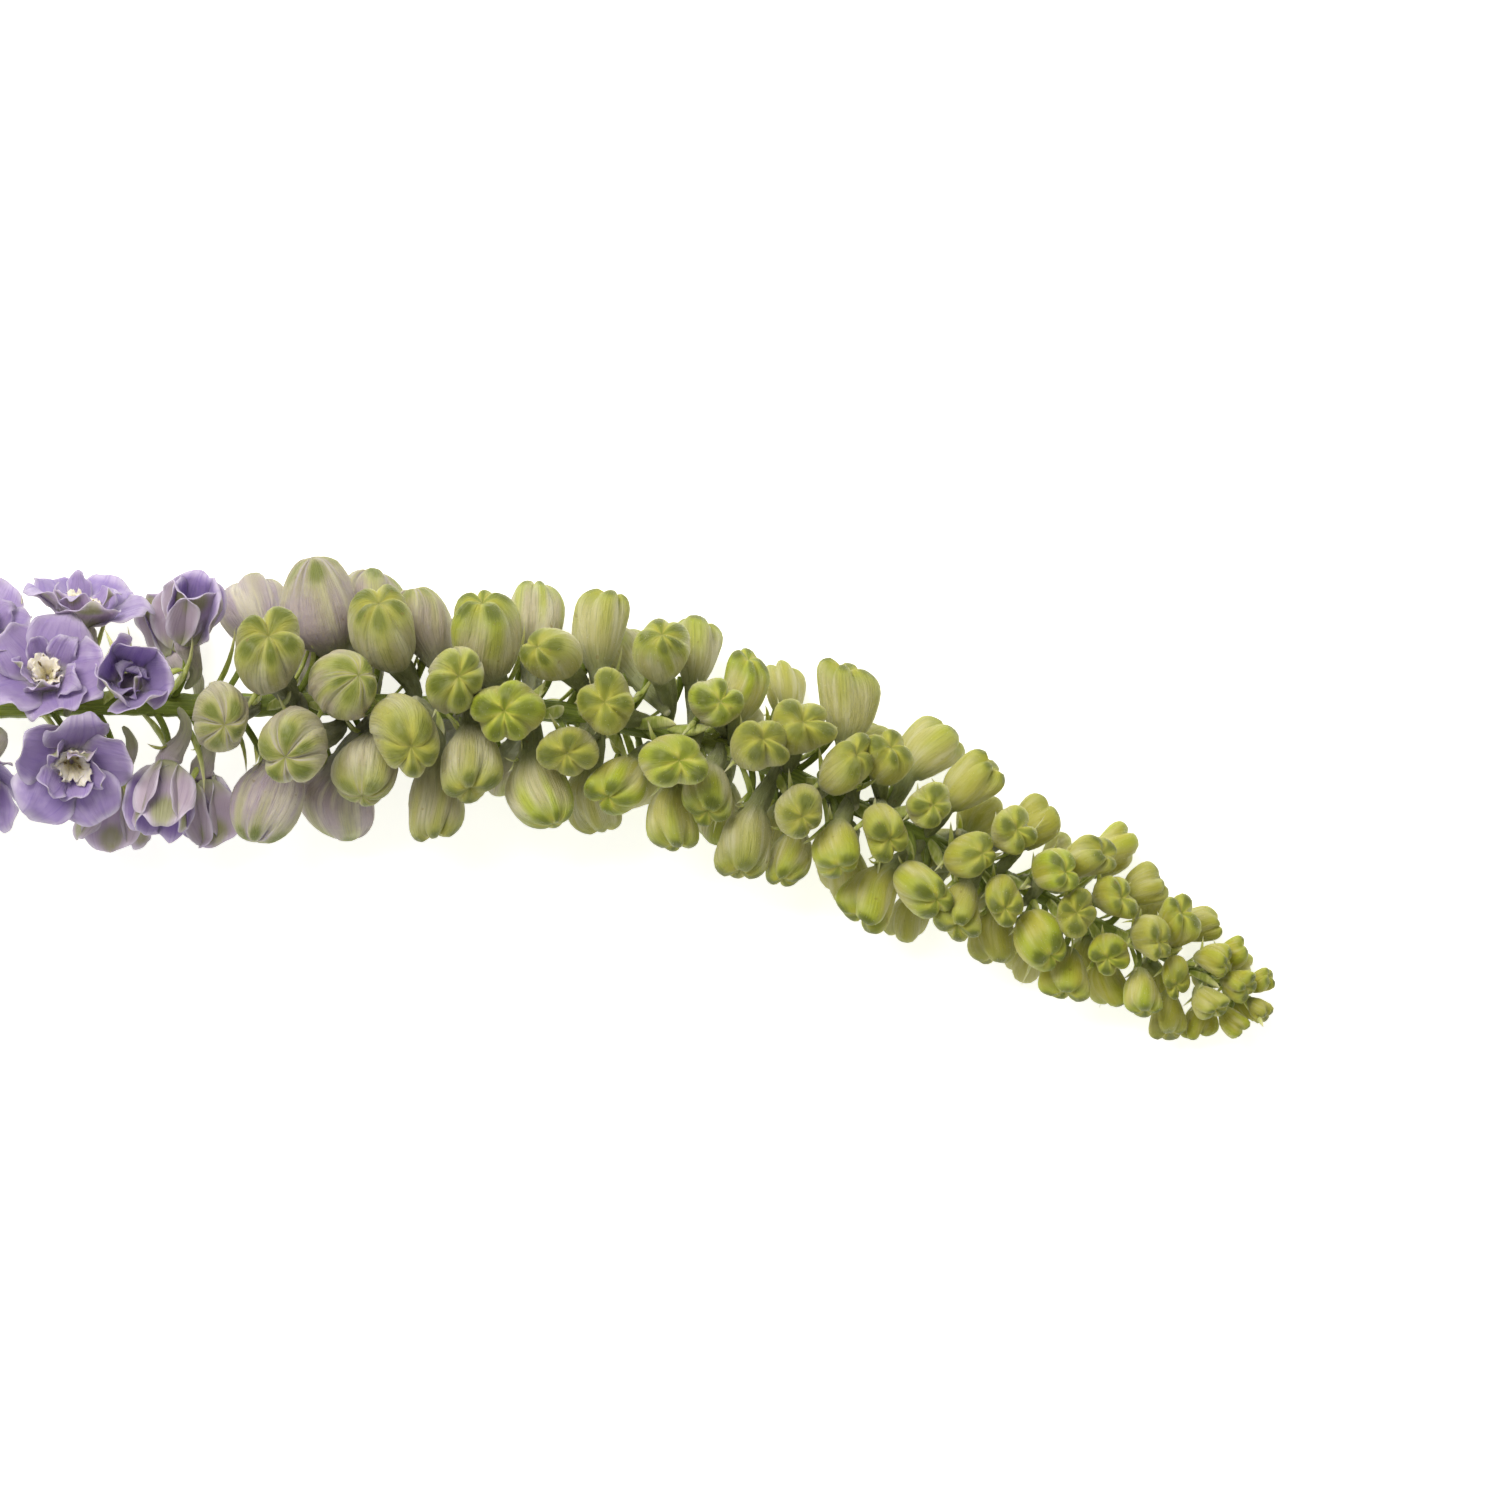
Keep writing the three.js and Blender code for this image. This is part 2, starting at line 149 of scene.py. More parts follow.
class Flower:
    def __init__(self, i, x):
        rules = layoutRules
        self.i, self.x = i, x
        self.stage = next(name for name, until in rules["stages"] if x < until)
        self.isOpen = self.stage in rules["opening"]
        self.point, self.along, up, side = stemFrame(x)
        free = math.radians(i * rules["goldenAngle"] + 24 * self.swing(1))
        turn = free - rules["turnedUp"] * math.sin(free)
        self.pedicel = rule("pedicel", x) * (0.72 + 0.45 * self.chance(2))
        self.lift = math.radians(rule("lift", x) + 36 * self.swing(3))
        self.tilt = math.radians(rules["tilt"] * self.swing(5))
        self.radius = rule("budRadius", x) * (0.88 + 0.24 * self.chance(4))
        self.length = 2 * rules["core"] if self.isOpen else self.radius * rule("plumpness", x)
        self.spur = min(self.length * rule("spurShare", x), 0.6 * self.pedicel)
        self.reach = self.pedicel + self.length / 2
        out = math.cos(turn) * up + math.sin(turn) * side
        self.head = self.point + 0.95 * self.reach * out + 0.3 * self.reach * self.along
        self.faceOut()

    def chance(self, use):
        return chance(self.i, use)

    def swing(self, use):  # a draw from -0.5 to 0.5
        return self.chance(use) - 0.5

    def faceOut(self):
        away = self.head - self.point
        self.out = unit(away - self.along * (away @ self.along))
        facing = math.cos(self.lift) * self.out + math.sin(self.lift) * self.along
        self.dorsal = math.cos(self.lift) * self.along - math.sin(self.lift) * self.out
        self.axis = math.cos(self.tilt) * facing + math.sin(self.tilt) * np.cross(self.dorsal, facing)
        self.lateral = np.cross(self.axis, self.dorsal)

    def spoke(self, turn):  # a direction square to the flower's axis
        return math.cos(turn) * self.dorsal + math.sin(turn) * self.lateral

    def opening(self):  # degrees that the sepals stand up
        return float(ramp(layoutRules["opening"][self.stage], self.x))

    def balls(self):  # what stands for the flower while the flowers make room for each other
        if not self.isOpen:
            shift = (self.length / 2 - self.radius) * self.axis
            return [(self.head + shift, 0.93 * self.radius), (self.head - shift, 0.93 * self.radius)]
        opening = math.radians(self.opening())
        wide = 0.6 * layoutRules["sepalLength"] * math.cos(opening)
        high = 0.6 * layoutRules["sepalLength"] * math.sin(opening) + 2
        ring = [self.head + high * self.axis + wide * self.spoke(math.radians(72 * k)) for k in range(5)]
        return [(self.head + 2 * self.axis, 5.0)] + [(at, 5.6) for at in ring]


def makeRoom(flowers):  # the flowers push each other, the stem and the table apart
    rules, give = layoutRules, layoutRules["give"]
    shortest, longest = rules["stretch"]
    owner = np.array([k for k, f in enumerate(flowers) for _ in f.balls()])
    xs = np.array([f.x for f in flowers])[owner]
    first, second = np.nonzero((owner[:, None] < owner[None]) & (xs[None] - xs[:, None] < rules["neighbour"]))
    for _ in range(rules["rounds"]):
        both = [ball for f in flowers for ball in f.balls()]
        at, r = np.array([b[0] for b in both]), np.array([b[1] for b in both])
        push = np.zeros((len(flowers), 3))
        apart = at[first] - at[second]
        distance = np.linalg.norm(apart, axis=1)
        overlap = r[first] + r[second] + 2 * rules["clearance"] - distance
        near = overlap > 0
        move = apart[near] / distance[near, None] * (give["flowers"] * overlap[near, None])
        np.add.at(push, owner[first[near]], move)
        np.add.at(push, owner[second[near]], -move)
        np.add.at(push[:, 2], owner, give["table"] * np.maximum(0, r - rules["pressed"] - at[:, 2]))
        away = at - stemPoint(at[:, 0])
        distance = np.linalg.norm(away, axis=1)
        sunk = r + rule("stemRadius", at[:, 0]) + rules["stemClearance"] - distance
        near = sunk > 0
        np.add.at(push, owner[near], away[near] / distance[near, None] * (give["stem"] * sunk[near, None]))
        for f, moved in zip(flowers, push):
            away = f.head + moved - f.point
            size = np.linalg.norm(away)
            f.head = f.point + away / size * min(max(size, shortest * f.reach), longest * f.reach)
            f.faceOut()


def layFlowers():
    flowers, x = [], layoutRules["lowestFlowerX"]
    while x < layoutRules["tipX"]:
        flowers.append(Flower(len(flowers), x))
        x += float(rule("spacing", x))
    makeRoom(flowers)
    return flowers


flowers = layFlowers()
print("flowers laid out:", len(flowers))


class Skin:  # closed parts of one piece, with values on their points that the materials read
    # streak: where the veins run along the third number. place: 0 on a rib to 1 on an edge, then along, then
    # which side. look: ripeness, then the flower's own tone.
    def __init__(self):
        self.points, self.quads, self.tris, self.count = [], [], [], 0
        self.values = {"streak": [], "place": [], "look": []}
        self.slots = []

    def add(self, points, quads, tris, streak, place, look, slot=0):
        quads, tris = np.asarray(quads, int).reshape(-1, 4), np.asarray(tris, int).reshape(-1, 3)
        fans = np.concatenate([quads[:, [0, 1, 2]], quads[:, [0, 2, 3]], tris])
        a, b, c = (points[fans[:, k]] - points.mean(0) for k in range(3))
        if np.sum(a * np.cross(b, c)) < 0:  # inside out
            quads, tris = quads[:, ::-1], tris[:, ::-1]
        self.points.append(points)
        self.quads.append(quads + self.count)
        self.tris.append(tris + self.count)
        self.count += len(points)
        self.slots.append((len(quads), len(tris), slot))
        for name, value in (("streak", streak), ("place", place), ("look", look)):
            self.values[name].append(np.broadcast_to(value, (len(points), 3)))

    def triangles(self):
        return sum(2 * len(q) for q in self.quads) + sum(len(t) for t in self.tris)


def flattened(height, film):  # what would sink into the table becomes a thin layer on it
    return np.where(height < film, film * np.exp(np.minimum(0, height / film - 1)), height)


def inFrame(points):
    points[:, 2] = flattened(points[:, 2], layoutRules["film"])
    return ((points + np.array(layoutRules["shift"])) / 1000).astype(np.float32)


def inScene(name, data):
    made = bpy.data.objects.new(name, data)
    bpy.context.scene.collection.objects.link(made)
    return made


def keepVectors(mesh, name, rows):
    stored = mesh.attributes.new(name, "FLOAT_VECTOR", "POINT").data
    stored.foreach_set("vector", np.asarray(rows, np.float32).ravel())


def meshFrom(name, skin, materials):
    points = inFrame(np.concatenate(skin.points))
    quads, tris = np.concatenate(skin.quads), np.concatenate(skin.tris)
    mesh = bpy.data.meshes.new(name)
    mesh.vertices.add(len(points))
    mesh.vertices.foreach_set("co", points.ravel())
    loops = np.concatenate([quads.ravel(), tris.ravel()]).astype(np.int32)
    mesh.loops.add(len(loops))
    mesh.loops.foreach_set("vertex_index", loops)
    starts = np.concatenate([np.arange(len(quads)) * 4, 4 * len(quads) + np.arange(len(tris)) * 3])
    mesh.polygons.add(len(starts))
    mesh.polygons.foreach_set("loop_start", starts.astype(np.int32))
    quadCounts, triCounts, slots = np.array(skin.slots).T
    mesh.update(calc_edges=True)
    slots = np.concatenate([np.repeat(slots, quadCounts), np.repeat(slots, triCounts)])
    mesh.polygons.foreach_set("material_index", slots.astype(np.int32))
    mesh.polygons.foreach_set("use_smooth", np.ones(len(starts), bool))
    for key, parts in skin.values.items():
        keepVectors(mesh, key, np.concatenate(parts))
    mesh.validate()
    for material in materials:
        mesh.materials.append(material)
    return inScene(name, mesh)


def around(sides):
    return np.arange(sides) * 2 * math.pi / sides


def ringsOn(middle, radius, a, up, side):  # points at the angles a round every point of a line
    outward = np.cos(a)[..., None] * up[:, None] + np.sin(a)[..., None] * side[:, None]
    return middle[:, None] + radius[..., None] * outward


def addTube(skin, rings, start, end, streak, place, look, slot=0):
    # a closed tube: rings is (rings, sides, 3), and start and end are the middle points of its two ends
    count, sides = rings.shape[:2]
    points = np.concatenate([rings.reshape(-1, 3), [start, end]])
    side = np.arange(sides)
    after = (side + 1) % sides
    last = (count - 1) * sides
    row = column(np.arange(count - 1) * sides)
    quads = np.stack([row + side, row + after, row + sides + after, row + sides + side], -1)
    caps = [triples(count * sides, after, side), triples(count * sides + 1, last + side, last + after)]
    ends = lambda v: np.concatenate([v.reshape(-1, 3), [v[0].mean(0), v[-1].mean(0)]])
    skin.add(points, quads, np.concatenate(caps), ends(streak), ends(place), look, slot)


def addSheet(skin, grid, thick, streak, place, look):
    # a closed blade round a grid of points; place's last number is 1 on its inner side and -1 on its outer
    rows, cols = grid.shape[:2]
    normal = unit(np.cross(np.gradient(grid, axis=0), np.gradient(grid, axis=1)))
    half = (0.5 * thick)[..., None] * normal
    points = np.concatenate([(grid + half).reshape(-1, 3), (grid - half).reshape(-1, 3)])
    under = rows * cols
    number = np.arange(under).reshape(rows, cols)
    corner = number[:-1, :-1].ravel()
    front = np.stack([corner, corner + 1, corner + cols + 1, corner + cols], -1)
    rim = np.concatenate([number[0], number[1:, -1], number[-1, -2::-1], number[-2:0:-1, 0]])
    after = np.roll(rim, -1)
    edge = np.stack([rim, rim + under, after + under, after], -1)
    faces = np.concatenate([front, edge, front[:, ::-1] + under])
    place, streak = (np.concatenate([v.reshape(-1, 3)] * 2) for v in (place, streak))
    place[:, 2] = np.repeat([1, -1], under)
    skin.add(points, faces, [], streak, place, look)


def paint(hexCode):  # a screen colour as the linear numbers that a shader takes
    parts = [int(hexCode[k : k + 2], 16) / 255 for k in (1, 3, 5)]
    return tuple(p / 12.92 if p <= 0.04045 else ((p + 0.055) / 1.055) ** 2.4 for p in parts) + (1.0,)


class Nodes:  # what building a material and building a geometry have in common
    def put(self, socket, value):
        if isinstance(value, bpy.types.NodeSocket):
            self.tree.links.new(value, socket)
        else:
            socket.default_value = value

    def node(self, kind, inputs=None, output=0, **settings):
        made = self.tree.nodes.new(kind)
        for key, value in settings.items():
            setattr(made, key, value)
        for socket, value in (inputs or {}).items():
            self.put(made.inputs[socket], value)
        return made.outputs[output]

    def math(self, operation, a, b=0.0):
        return self.node("ShaderNodeMath", {0: a, 1: b}, operation=operation)

    def smooth(self, value, low, high, start=0.0, end=1.0):
        inputs = {0: value, 1: low, 2: high, 3: start, 4: end}
        return self.node("ShaderNodeMapRange", inputs, interpolation_type="SMOOTHSTEP")


class Recipe(Nodes):  # one material; body is its colour so far
    def __init__(self, name):
        self.material = bpy.data.materials.new(name)
        self.material.use_nodes = True
        self.tree = self.material.node_tree
        self.shader = self.tree.nodes["Principled BSDF"].inputs
        self.body = None

    def times(self, *values):
        product = values[0]
        for value in values[1:]:
            product = self.math("MULTIPLY", product, value)
        return product

    def plus(self, a, b):
        return self.math("ADD", a, b)

    def mix(self, share, a, b):
        a, b = (paint(colour) if isinstance(colour, str) else colour for colour in (a, b))
        return self.node("ShaderNodeMix", {0: share, 6: a, 7: b}, 2, data_type="RGBA")

    def over(self, colour, *shares):  # lays a colour over the body, as thick as the shares' product
        self.body = self.mix(self.times(*shares), self.body, colour)

    def graded(self, value, *stops):  # stops are (value, colour), from low to high
        colour = self.node("ShaderNodeValToRGB", {0: value})
        band = colour.node.color_ramp.elements
        while len(band) < len(stops):
            band.new(0.5)
        for element, (at, shade) in zip(band, stops):
            element.position, element.color = at, paint(shade)
        return colour

    def value(self, name):
        return self.node("ShaderNodeAttribute", output="Vector", attribute_name=name)

    def split(self, vector):
        return self.node("ShaderNodeSeparateXYZ", {0: vector}).node.outputs[:]

    def noise(self, vector, scale=1.0, detail=3.0, rough=0.55):
        inputs = {"Vector": vector, "Scale": scale, "Detail": detail, "Roughness": rough}
        return self.node("ShaderNodeTexNoise", inputs)

    def streaks(self, vector, size, detail=3.0, rough=0.6):
        return self.noise(self.node("ShaderNodeMapping", {0: vector, "Scale": size}), 1.0, detail, rough)

    def here(self):
        return self.node("ShaderNodeTexCoord", output="Object")

    def bump(self, height, distance, strength):
        inputs = {"Height": height, "Distance": distance, "Strength": strength}
        self.put(self.shader["Normal"], self.node("ShaderNodeBump", inputs))

    def finish(self, rough, **constants):
        for name, value in {"Base_Color": self.body, "Roughness": rough, **constants}.items():
            self.put(self.shader[name.replace("_", " ")], value)
        return self.material


softSkin = {  # what living tissue has in common: light passes a little way in, and fine down catches it
    "Subsurface_Weight": 0.4,
    "Subsurface_Radius": (0.95, 0.9, 0.3),
    "Subsurface_Scale": 0.002,
    "Sheen_Weight": 0.22,
    "Sheen_Roughness": 0.35,
    "Sheen_Tint": (1.0, 0.98, 0.72, 1.0),
    "Specular_IOR_Level": 0.4,
}


def fromSpot(m, across, wide, along, centre, veins, ragged):  # how far a place is from its sepal's green spot
    x = m.times(across, wide)
    y = m.plus(along, -centre)
    away = m.math("SQRT", m.plus(m.times(x, x), m.times(y, y)))
    return m.plus(away, m.times(m.plus(veins, -0.5), ragged))


def budMaterial():
    m = Recipe("budSkin")
    streak, here = m.value("streak"), m.here()
    across, along, spotted = m.split(m.value("place"))
    age, tone, _ = m.split(m.value("look"))
    veins = m.streaks(streak, (22, 22, 1.0), 4)
    wrinkles = m.streaks(streak, (7, 7, 2.5))
    broad = m.streaks(streak, (2.6, 2.6, 0.5), 2, 0.5)
    blotch = m.noise(here, 240)
    # the sides of the sepals pale from green through cream to lilac as the bud ripens
    greens = (0.0, "#b0ad36"), (0.2, "#bdba64"), (0.42, "#bab67e")
    m.body = m.graded(age, *greens, (0.6, "#b1aa8a"), (0.8, "#b0a2a0"), (1.0, "#b0a0b6"))
    m.over("#e2dfc0", m.smooth(broad, 0.42, 0.66), m.smooth(age, 0.0, 0.4, 0.25, 0.55))
    foot = m.mix(m.smooth(age, 0.2, 0.9), "#969e68", "#9a9c84")
    m.over(foot, m.smooth(m.plus(along, m.times(veins, 0.2)), 0.42, 0.02))
    # bright green along the ribs and over the end, darkest in a spot near each sepal's end
    reach = m.smooth(age, 0.35, 1.0, 1.0, 0.42)
    strong = m.smooth(tone, 0.0, 1.0, 0.95, 0.5)
    rib = m.times(m.smooth(across, 0.62, 0.08), m.smooth(along, 0.18, 0.6), strong)
    m.over(m.mix(tone, "#a6b22a", "#b6b43c"), rib, reach)
    end = m.smooth(m.plus(along, m.times(blotch, 0.22)), 0.66, 0.94)
    m.over(m.mix(tone, "#96a62e", "#a2a638"), end, reach, 0.9)
    away = fromSpot(m, across, 0.19, along, 0.85, veins, 0.1)
    spotColour = m.mix(m.smooth(age, 0.4, 0.9), "#5f6a10", "#6d7a2c")
    m.over(spotColour, m.smooth(away, 0.15, 0.05), m.smooth(spotted, 0.0, 0.6, 0.6, 0.95))
    # where the sepals meet over the end: yellow lines on a green bud
    meet = m.times(m.smooth(across, 0.35, 0.92), m.smooth(along, 0.72, 0.93))
    m.over("#c6c04c", meet, m.smooth(age, 0.9, 0.5), 0.62)
    # the lobes' ends are paler round their spots
    m.over("#d4d37c", m.smooth(away, 0.15, 0.24), m.smooth(along, 0.8, 0.95), m.smooth(age, 0.9, 0.6), 0.3)
    # dark lines on a ripe bud, each with a pale rim beside it
    ripe = m.smooth(age, 0.55, 0.75)
    dark = m.times(m.smooth(across, 0.84, 0.98), m.smooth(along, 0.6, 0.85), ripe)
    m.over("#75618a", dark, m.smooth(spotted, 0.1, 0.8, 0.15, 0.7))
    rim = m.times(m.smooth(across, 0.66, 0.8), m.smooth(across, 0.92, 0.84))
    m.over("#c3b4d6", rim, m.smooth(along, 0.6, 0.9), ripe, 0.5)
    # fine veins, and the down's pale bloom
    line = m.times(m.smooth(veins, 0.5, 0.64), m.smooth(along, 0.9, 0.6))
    m.over(m.mix(m.smooth(age, 0.55, 0.95), "#6f7a3e", "#8d7f92"), line, m.smooth(age, 0.1, 0.6, 0.16, 0.4))
    m.over("#dedcc0", m.smooth(blotch, 0.5, 0.75), m.smooth(age, 0.2, 0.8, 0.08, 0.2))
    m.over("#7c8040", m.smooth(tone, 0.0, 1.0, 0.0, 0.2))
    m.over("#dcdcb8", m.smooth(along, -0.93, -0.99))
    m.over("#86703c", m.smooth(m.noise(here, 420, 1), 0.74, 0.79), 0.45)
    relief = m.plus(m.times(veins, 0.6), m.plus(m.times(blotch, 0.5), m.times(wrinkles, 0.9)))
    slack = m.math("MAXIMUM", m.smooth(age, 0.05, 0.6, 0.45, 1.1), m.smooth(along, 0.15, -0.2, 0.0, 2.0))
    m.bump(m.times(relief, slack), 0.0007, 0.85)
    return m.finish(m.smooth(veins, 0.3, 0.8, 0.46, 0.64), **softSkin)


def sepalMaterial():
    m = Recipe("sepalSkin")
    streak, here = m.value("streak"), m.here()
    across, along, side = m.split(m.value("place"))
    _, tone, _ = m.split(m.value("look"))
    veins = m.streaks(streak, (9, 9, 0.8), 4)
    blotch = m.noise(here, 120)
    isInner = m.smooth(side, -0.2, 0.2)
    # the outside is duller than the inside, and green towards the foot
    m.body = m.mix(tone, "#bfb0c2", "#a090a2")
    m.over("#a6aa80", m.smooth(m.plus(along, m.times(blotch, 0.3)), 0.6, 0.1))
    m.over(m.mix(tone, "#a592c1", "#8878ab"), isInner)
    m.over("#e0dae2", m.smooth(along, 0.4, 0.05), m.smooth(side, 0.0, 1.0))
    m.over("#d8cfe8", m.math("MAXIMUM", m.smooth(across, 0.72, 1.0), m.smooth(along, 0.86, 1.0)), 0.5)
    m.over(m.mix(isInner, "#8b7a94", "#7560a6"), m.smooth(veins, 0.48, 0.66), 0.35)
    m.over("#d3cae2", m.smooth(blotch, 0.5, 0.75), 0.3)
    # a soft green spot on the outside, near the end
    away = fromSpot(m, across, 0.46, along, 0.82, veins, 0.12)
    m.over("#848b3c", m.smooth(away, 0.3, 0.1), m.smooth(side, 0.5, -0.5, 0.03, 0.82))
    m.bump(m.plus(m.times(veins, 0.8), m.times(blotch, 0.7)), 0.0006, 0.7)
    violet = {"Subsurface_Radius": (0.8, 0.7, 1.0), "Sheen_Tint": (0.95, 0.92, 1.0, 1.0)}
    return m.finish(m.smooth(veins, 0.3, 0.8, 0.46, 0.62), **{**softSkin, **violet})


def greenMaterial():
    m = Recipe("stalkSkin")
    streak, here = m.value("streak"), m.here()
    _, tone, _ = m.split(m.value("look"))
    lines = m.streaks(streak, (6, 6, 0.5))
    blotch = m.noise(here, 180)
    m.body = m.mix(m.smooth(lines, 0.35, 0.7), "#75872a", "#98a944")
    m.over("#b4bd6c", m.smooth(blotch, 0.5, 0.8), 0.5)
    m.over("#56661f", tone, 0.45)
    m.over("#7c6f3c", m.smooth(m.noise(here, 45, 2), 0.55, 0.7), 0.25)
    m.bump(m.plus(lines, m.times(blotch, 0.5)), 0.0005, 0.8)
    return m.finish(m.smooth(blotch, 0.3, 0.8, 0.42, 0.62), **{**softSkin, "Subsurface_Weight": 0.2})


def bractMaterial():
    m = Recipe("bractSkin")
    here = m.here()
    _, along, _ = m.split(m.value("blade"))
    lines = m.streaks(here, (900, 300, 300))
    blotch = m.noise(here, 260)
    m.body = m.mix(m.smooth(lines, 0.35, 0.7), "#a2b052", "#c4cb80")
    m.over("#e0deb2", m.smooth(along, 0.45, 1.0), 0.75)
    m.over("#b49a68", m.smooth(along, 0.93, 1.0), m.smooth(blotch, 0.4, 0.6))
    m.bump(m.plus(lines, m.times(blotch, 0.5)), 0.0004, 0.7)
    return m.finish(m.smooth(blotch, 0.3, 0.8, 0.45, 0.65), **softSkin)


def downMaterial():
    m = Recipe("down")
    tint = m.noise(m.here(), 500, 2)
    m.body = m.mix(tint, "#e3e4c4", "#f6f4e6")
    return m.finish(m.smooth(tint, 0.2, 0.8, 0.4, 0.6), Subsurface_Weight=0.2)


def eyeMaterial():
    m = Recipe("eyeSkin")
    streak, here = m.value("streak"), m.here()
    _, along, _ = m.split(m.value("place"))
    veins = m.streaks(streak, (8, 8, 1.5))
    blotch = m.noise(here, 300)
    m.body = m.mix(m.smooth(along, 0.1, 0.8), "#c9bd92", "#f2ead6")
    m.over("#e3d6ae", m.smooth(blotch, 0.5, 0.75), 0.4)
    m.over("#bfb088", m.smooth(veins, 0.52, 0.7), 0.2)
    m.bump(m.plus(veins, blotch), 0.0005, 0.7)
    return m.finish(m.smooth(veins, 0.3, 0.8, 0.5, 0.65), **softSkin)


def stamenMaterial():
    m = Recipe("stamenSkin")
    _, along, _ = m.split(m.value("blade"))
    grain = m.noise(m.here(), 900, 2)
    m.body = m.mix(m.smooth(along, 0.55, 0.8), "#dcd6b0", m.mix(grain, "#4c4028", "#84703f"))
    m.bump(grain, 0.0002, 0.5)
    return m.finish(m.smooth(grain, 0.2, 0.8, 0.6, 0.75), **softSkin)


stemShape = {
    "sides": 22,
    "step": 2.2,
    "ridges": 0.06,
    "swell": 0.12,  # at the foot of each flower stalk
    "swellLength": 1.6,
    "wander": 0.35,
    "cut": [(0.3, 1.2), (0.7, 0.25)],  # the hollow pith: share of the radius and depth, from the middle out
}


def addStem(skin):
    s = stemShape
    length = layoutRules["tipX"] - layoutRules["cutX"]
    xs = np.linspace(layoutRules["cutX"], layoutRules["tipX"], int(length / s["step"]))
    point, along, up, side = stemFrame(xs)
    a = around(s["sides"])
    joints = np.array([f.x for f in flowers])
    swell = s["swell"] * hump(column(xs) - joints, s["swellLength"]).max(1)
    ridges = s["ridges"] * (np.cos(5 * a + column(xs) * 0.02) + 0.5 * np.cos(9 * a + 1))
    radius = column(rule("stemRadius", xs)) * (1 + ridges + column(swell))
    wander = s["wander"] * np.stack([np.zeros_like(xs), np.sin(xs * 0.11), np.cos(xs * 0.083)], -1)
    rings = ringsOn(point + wander, radius, a, up, side)
    streak = triples(np.cos(a), np.sin(a), column(xs) / 12)
    place = triples(np.abs(np.sin(2.5 * a)), column(xs) / 200, 0)
    cut = rings[0].mean(0)
    hollow = [cut + share * (rings[0] - cut) + deep * along[0] for share, deep in s["cut"]]
    rings = np.concatenate([hollow, rings])
    streak, place = (np.concatenate([v[:1], v[:1], v]) for v in (streak, place))
    end = rings[-1].mean(0) + 0.5 * along[-1]
    addTube(skin, rings, rings[0].mean(0), end, streak, place, (0.5, 0.35, 0))


stalkShape = {
    "radius": 0.9,
    "thinFrom": 172.0,  # stalks from here to the tip have the share "thin" of the radius
    "thin": 0.75,
    "flare": 0.12,  # the share of the length over which it widens at each end
    "sides": 8,
    "rings": 12,
}


def stalkLine(f, u):
    below = 0 if f.isOpen else 0.3 * f.radius
    joint = f.head + (1.5 - f.length / 2) * f.axis - below * f.dorsal
    bend = 0.55 * np.linalg.norm(joint - f.point)
    knee = f.point + 0.75 * bend * f.out + 0.62 * bend * f.along
    u = np.asarray(u, float)[..., None]
    place = (1 - u) ** 2 * f.point + 2 * u * (1 - u) * knee + u**2 * joint
    return place, unit(2 * (1 - u) * (knee - f.point) + 2 * u * (joint - knee))


def addStalk(skin, f):
    s = stalkShape
    u = np.linspace(0, 1, s["rings"])
    place, tangent = stalkLine(f, u)
    a = around(s["sides"])
    radius = s["radius"] * (s["thin"] if f.x > s["thinFrom"] else 1)
    radius = radius * (1 + 0.75 * hump(u, s["flare"]) + 0.35 * hump(1 - u, s["flare"]))
    radius = column(radius) * (1 + 0.06 * np.cos(3 * a + f.i))
    across = unit(np.cross(np.broadcast_to(f.lateral, tangent.shape), tangent))
    middle = place + column(np.sin(math.pi * u) * f.swing(31)) * f.lateral
    rings = ringsOn(middle, radius, a, across, np.cross(across, tangent))
    streak = triples(np.cos(a), np.sin(a) + 3 * f.i, column(u) * f.pedicel / 8)
    value = triples(0.5, column(u), 0 * a)
    addTube(skin, rings, middle[0], middle[-1], streak, value, (0.3, 0.35 * f.chance(32), 0))


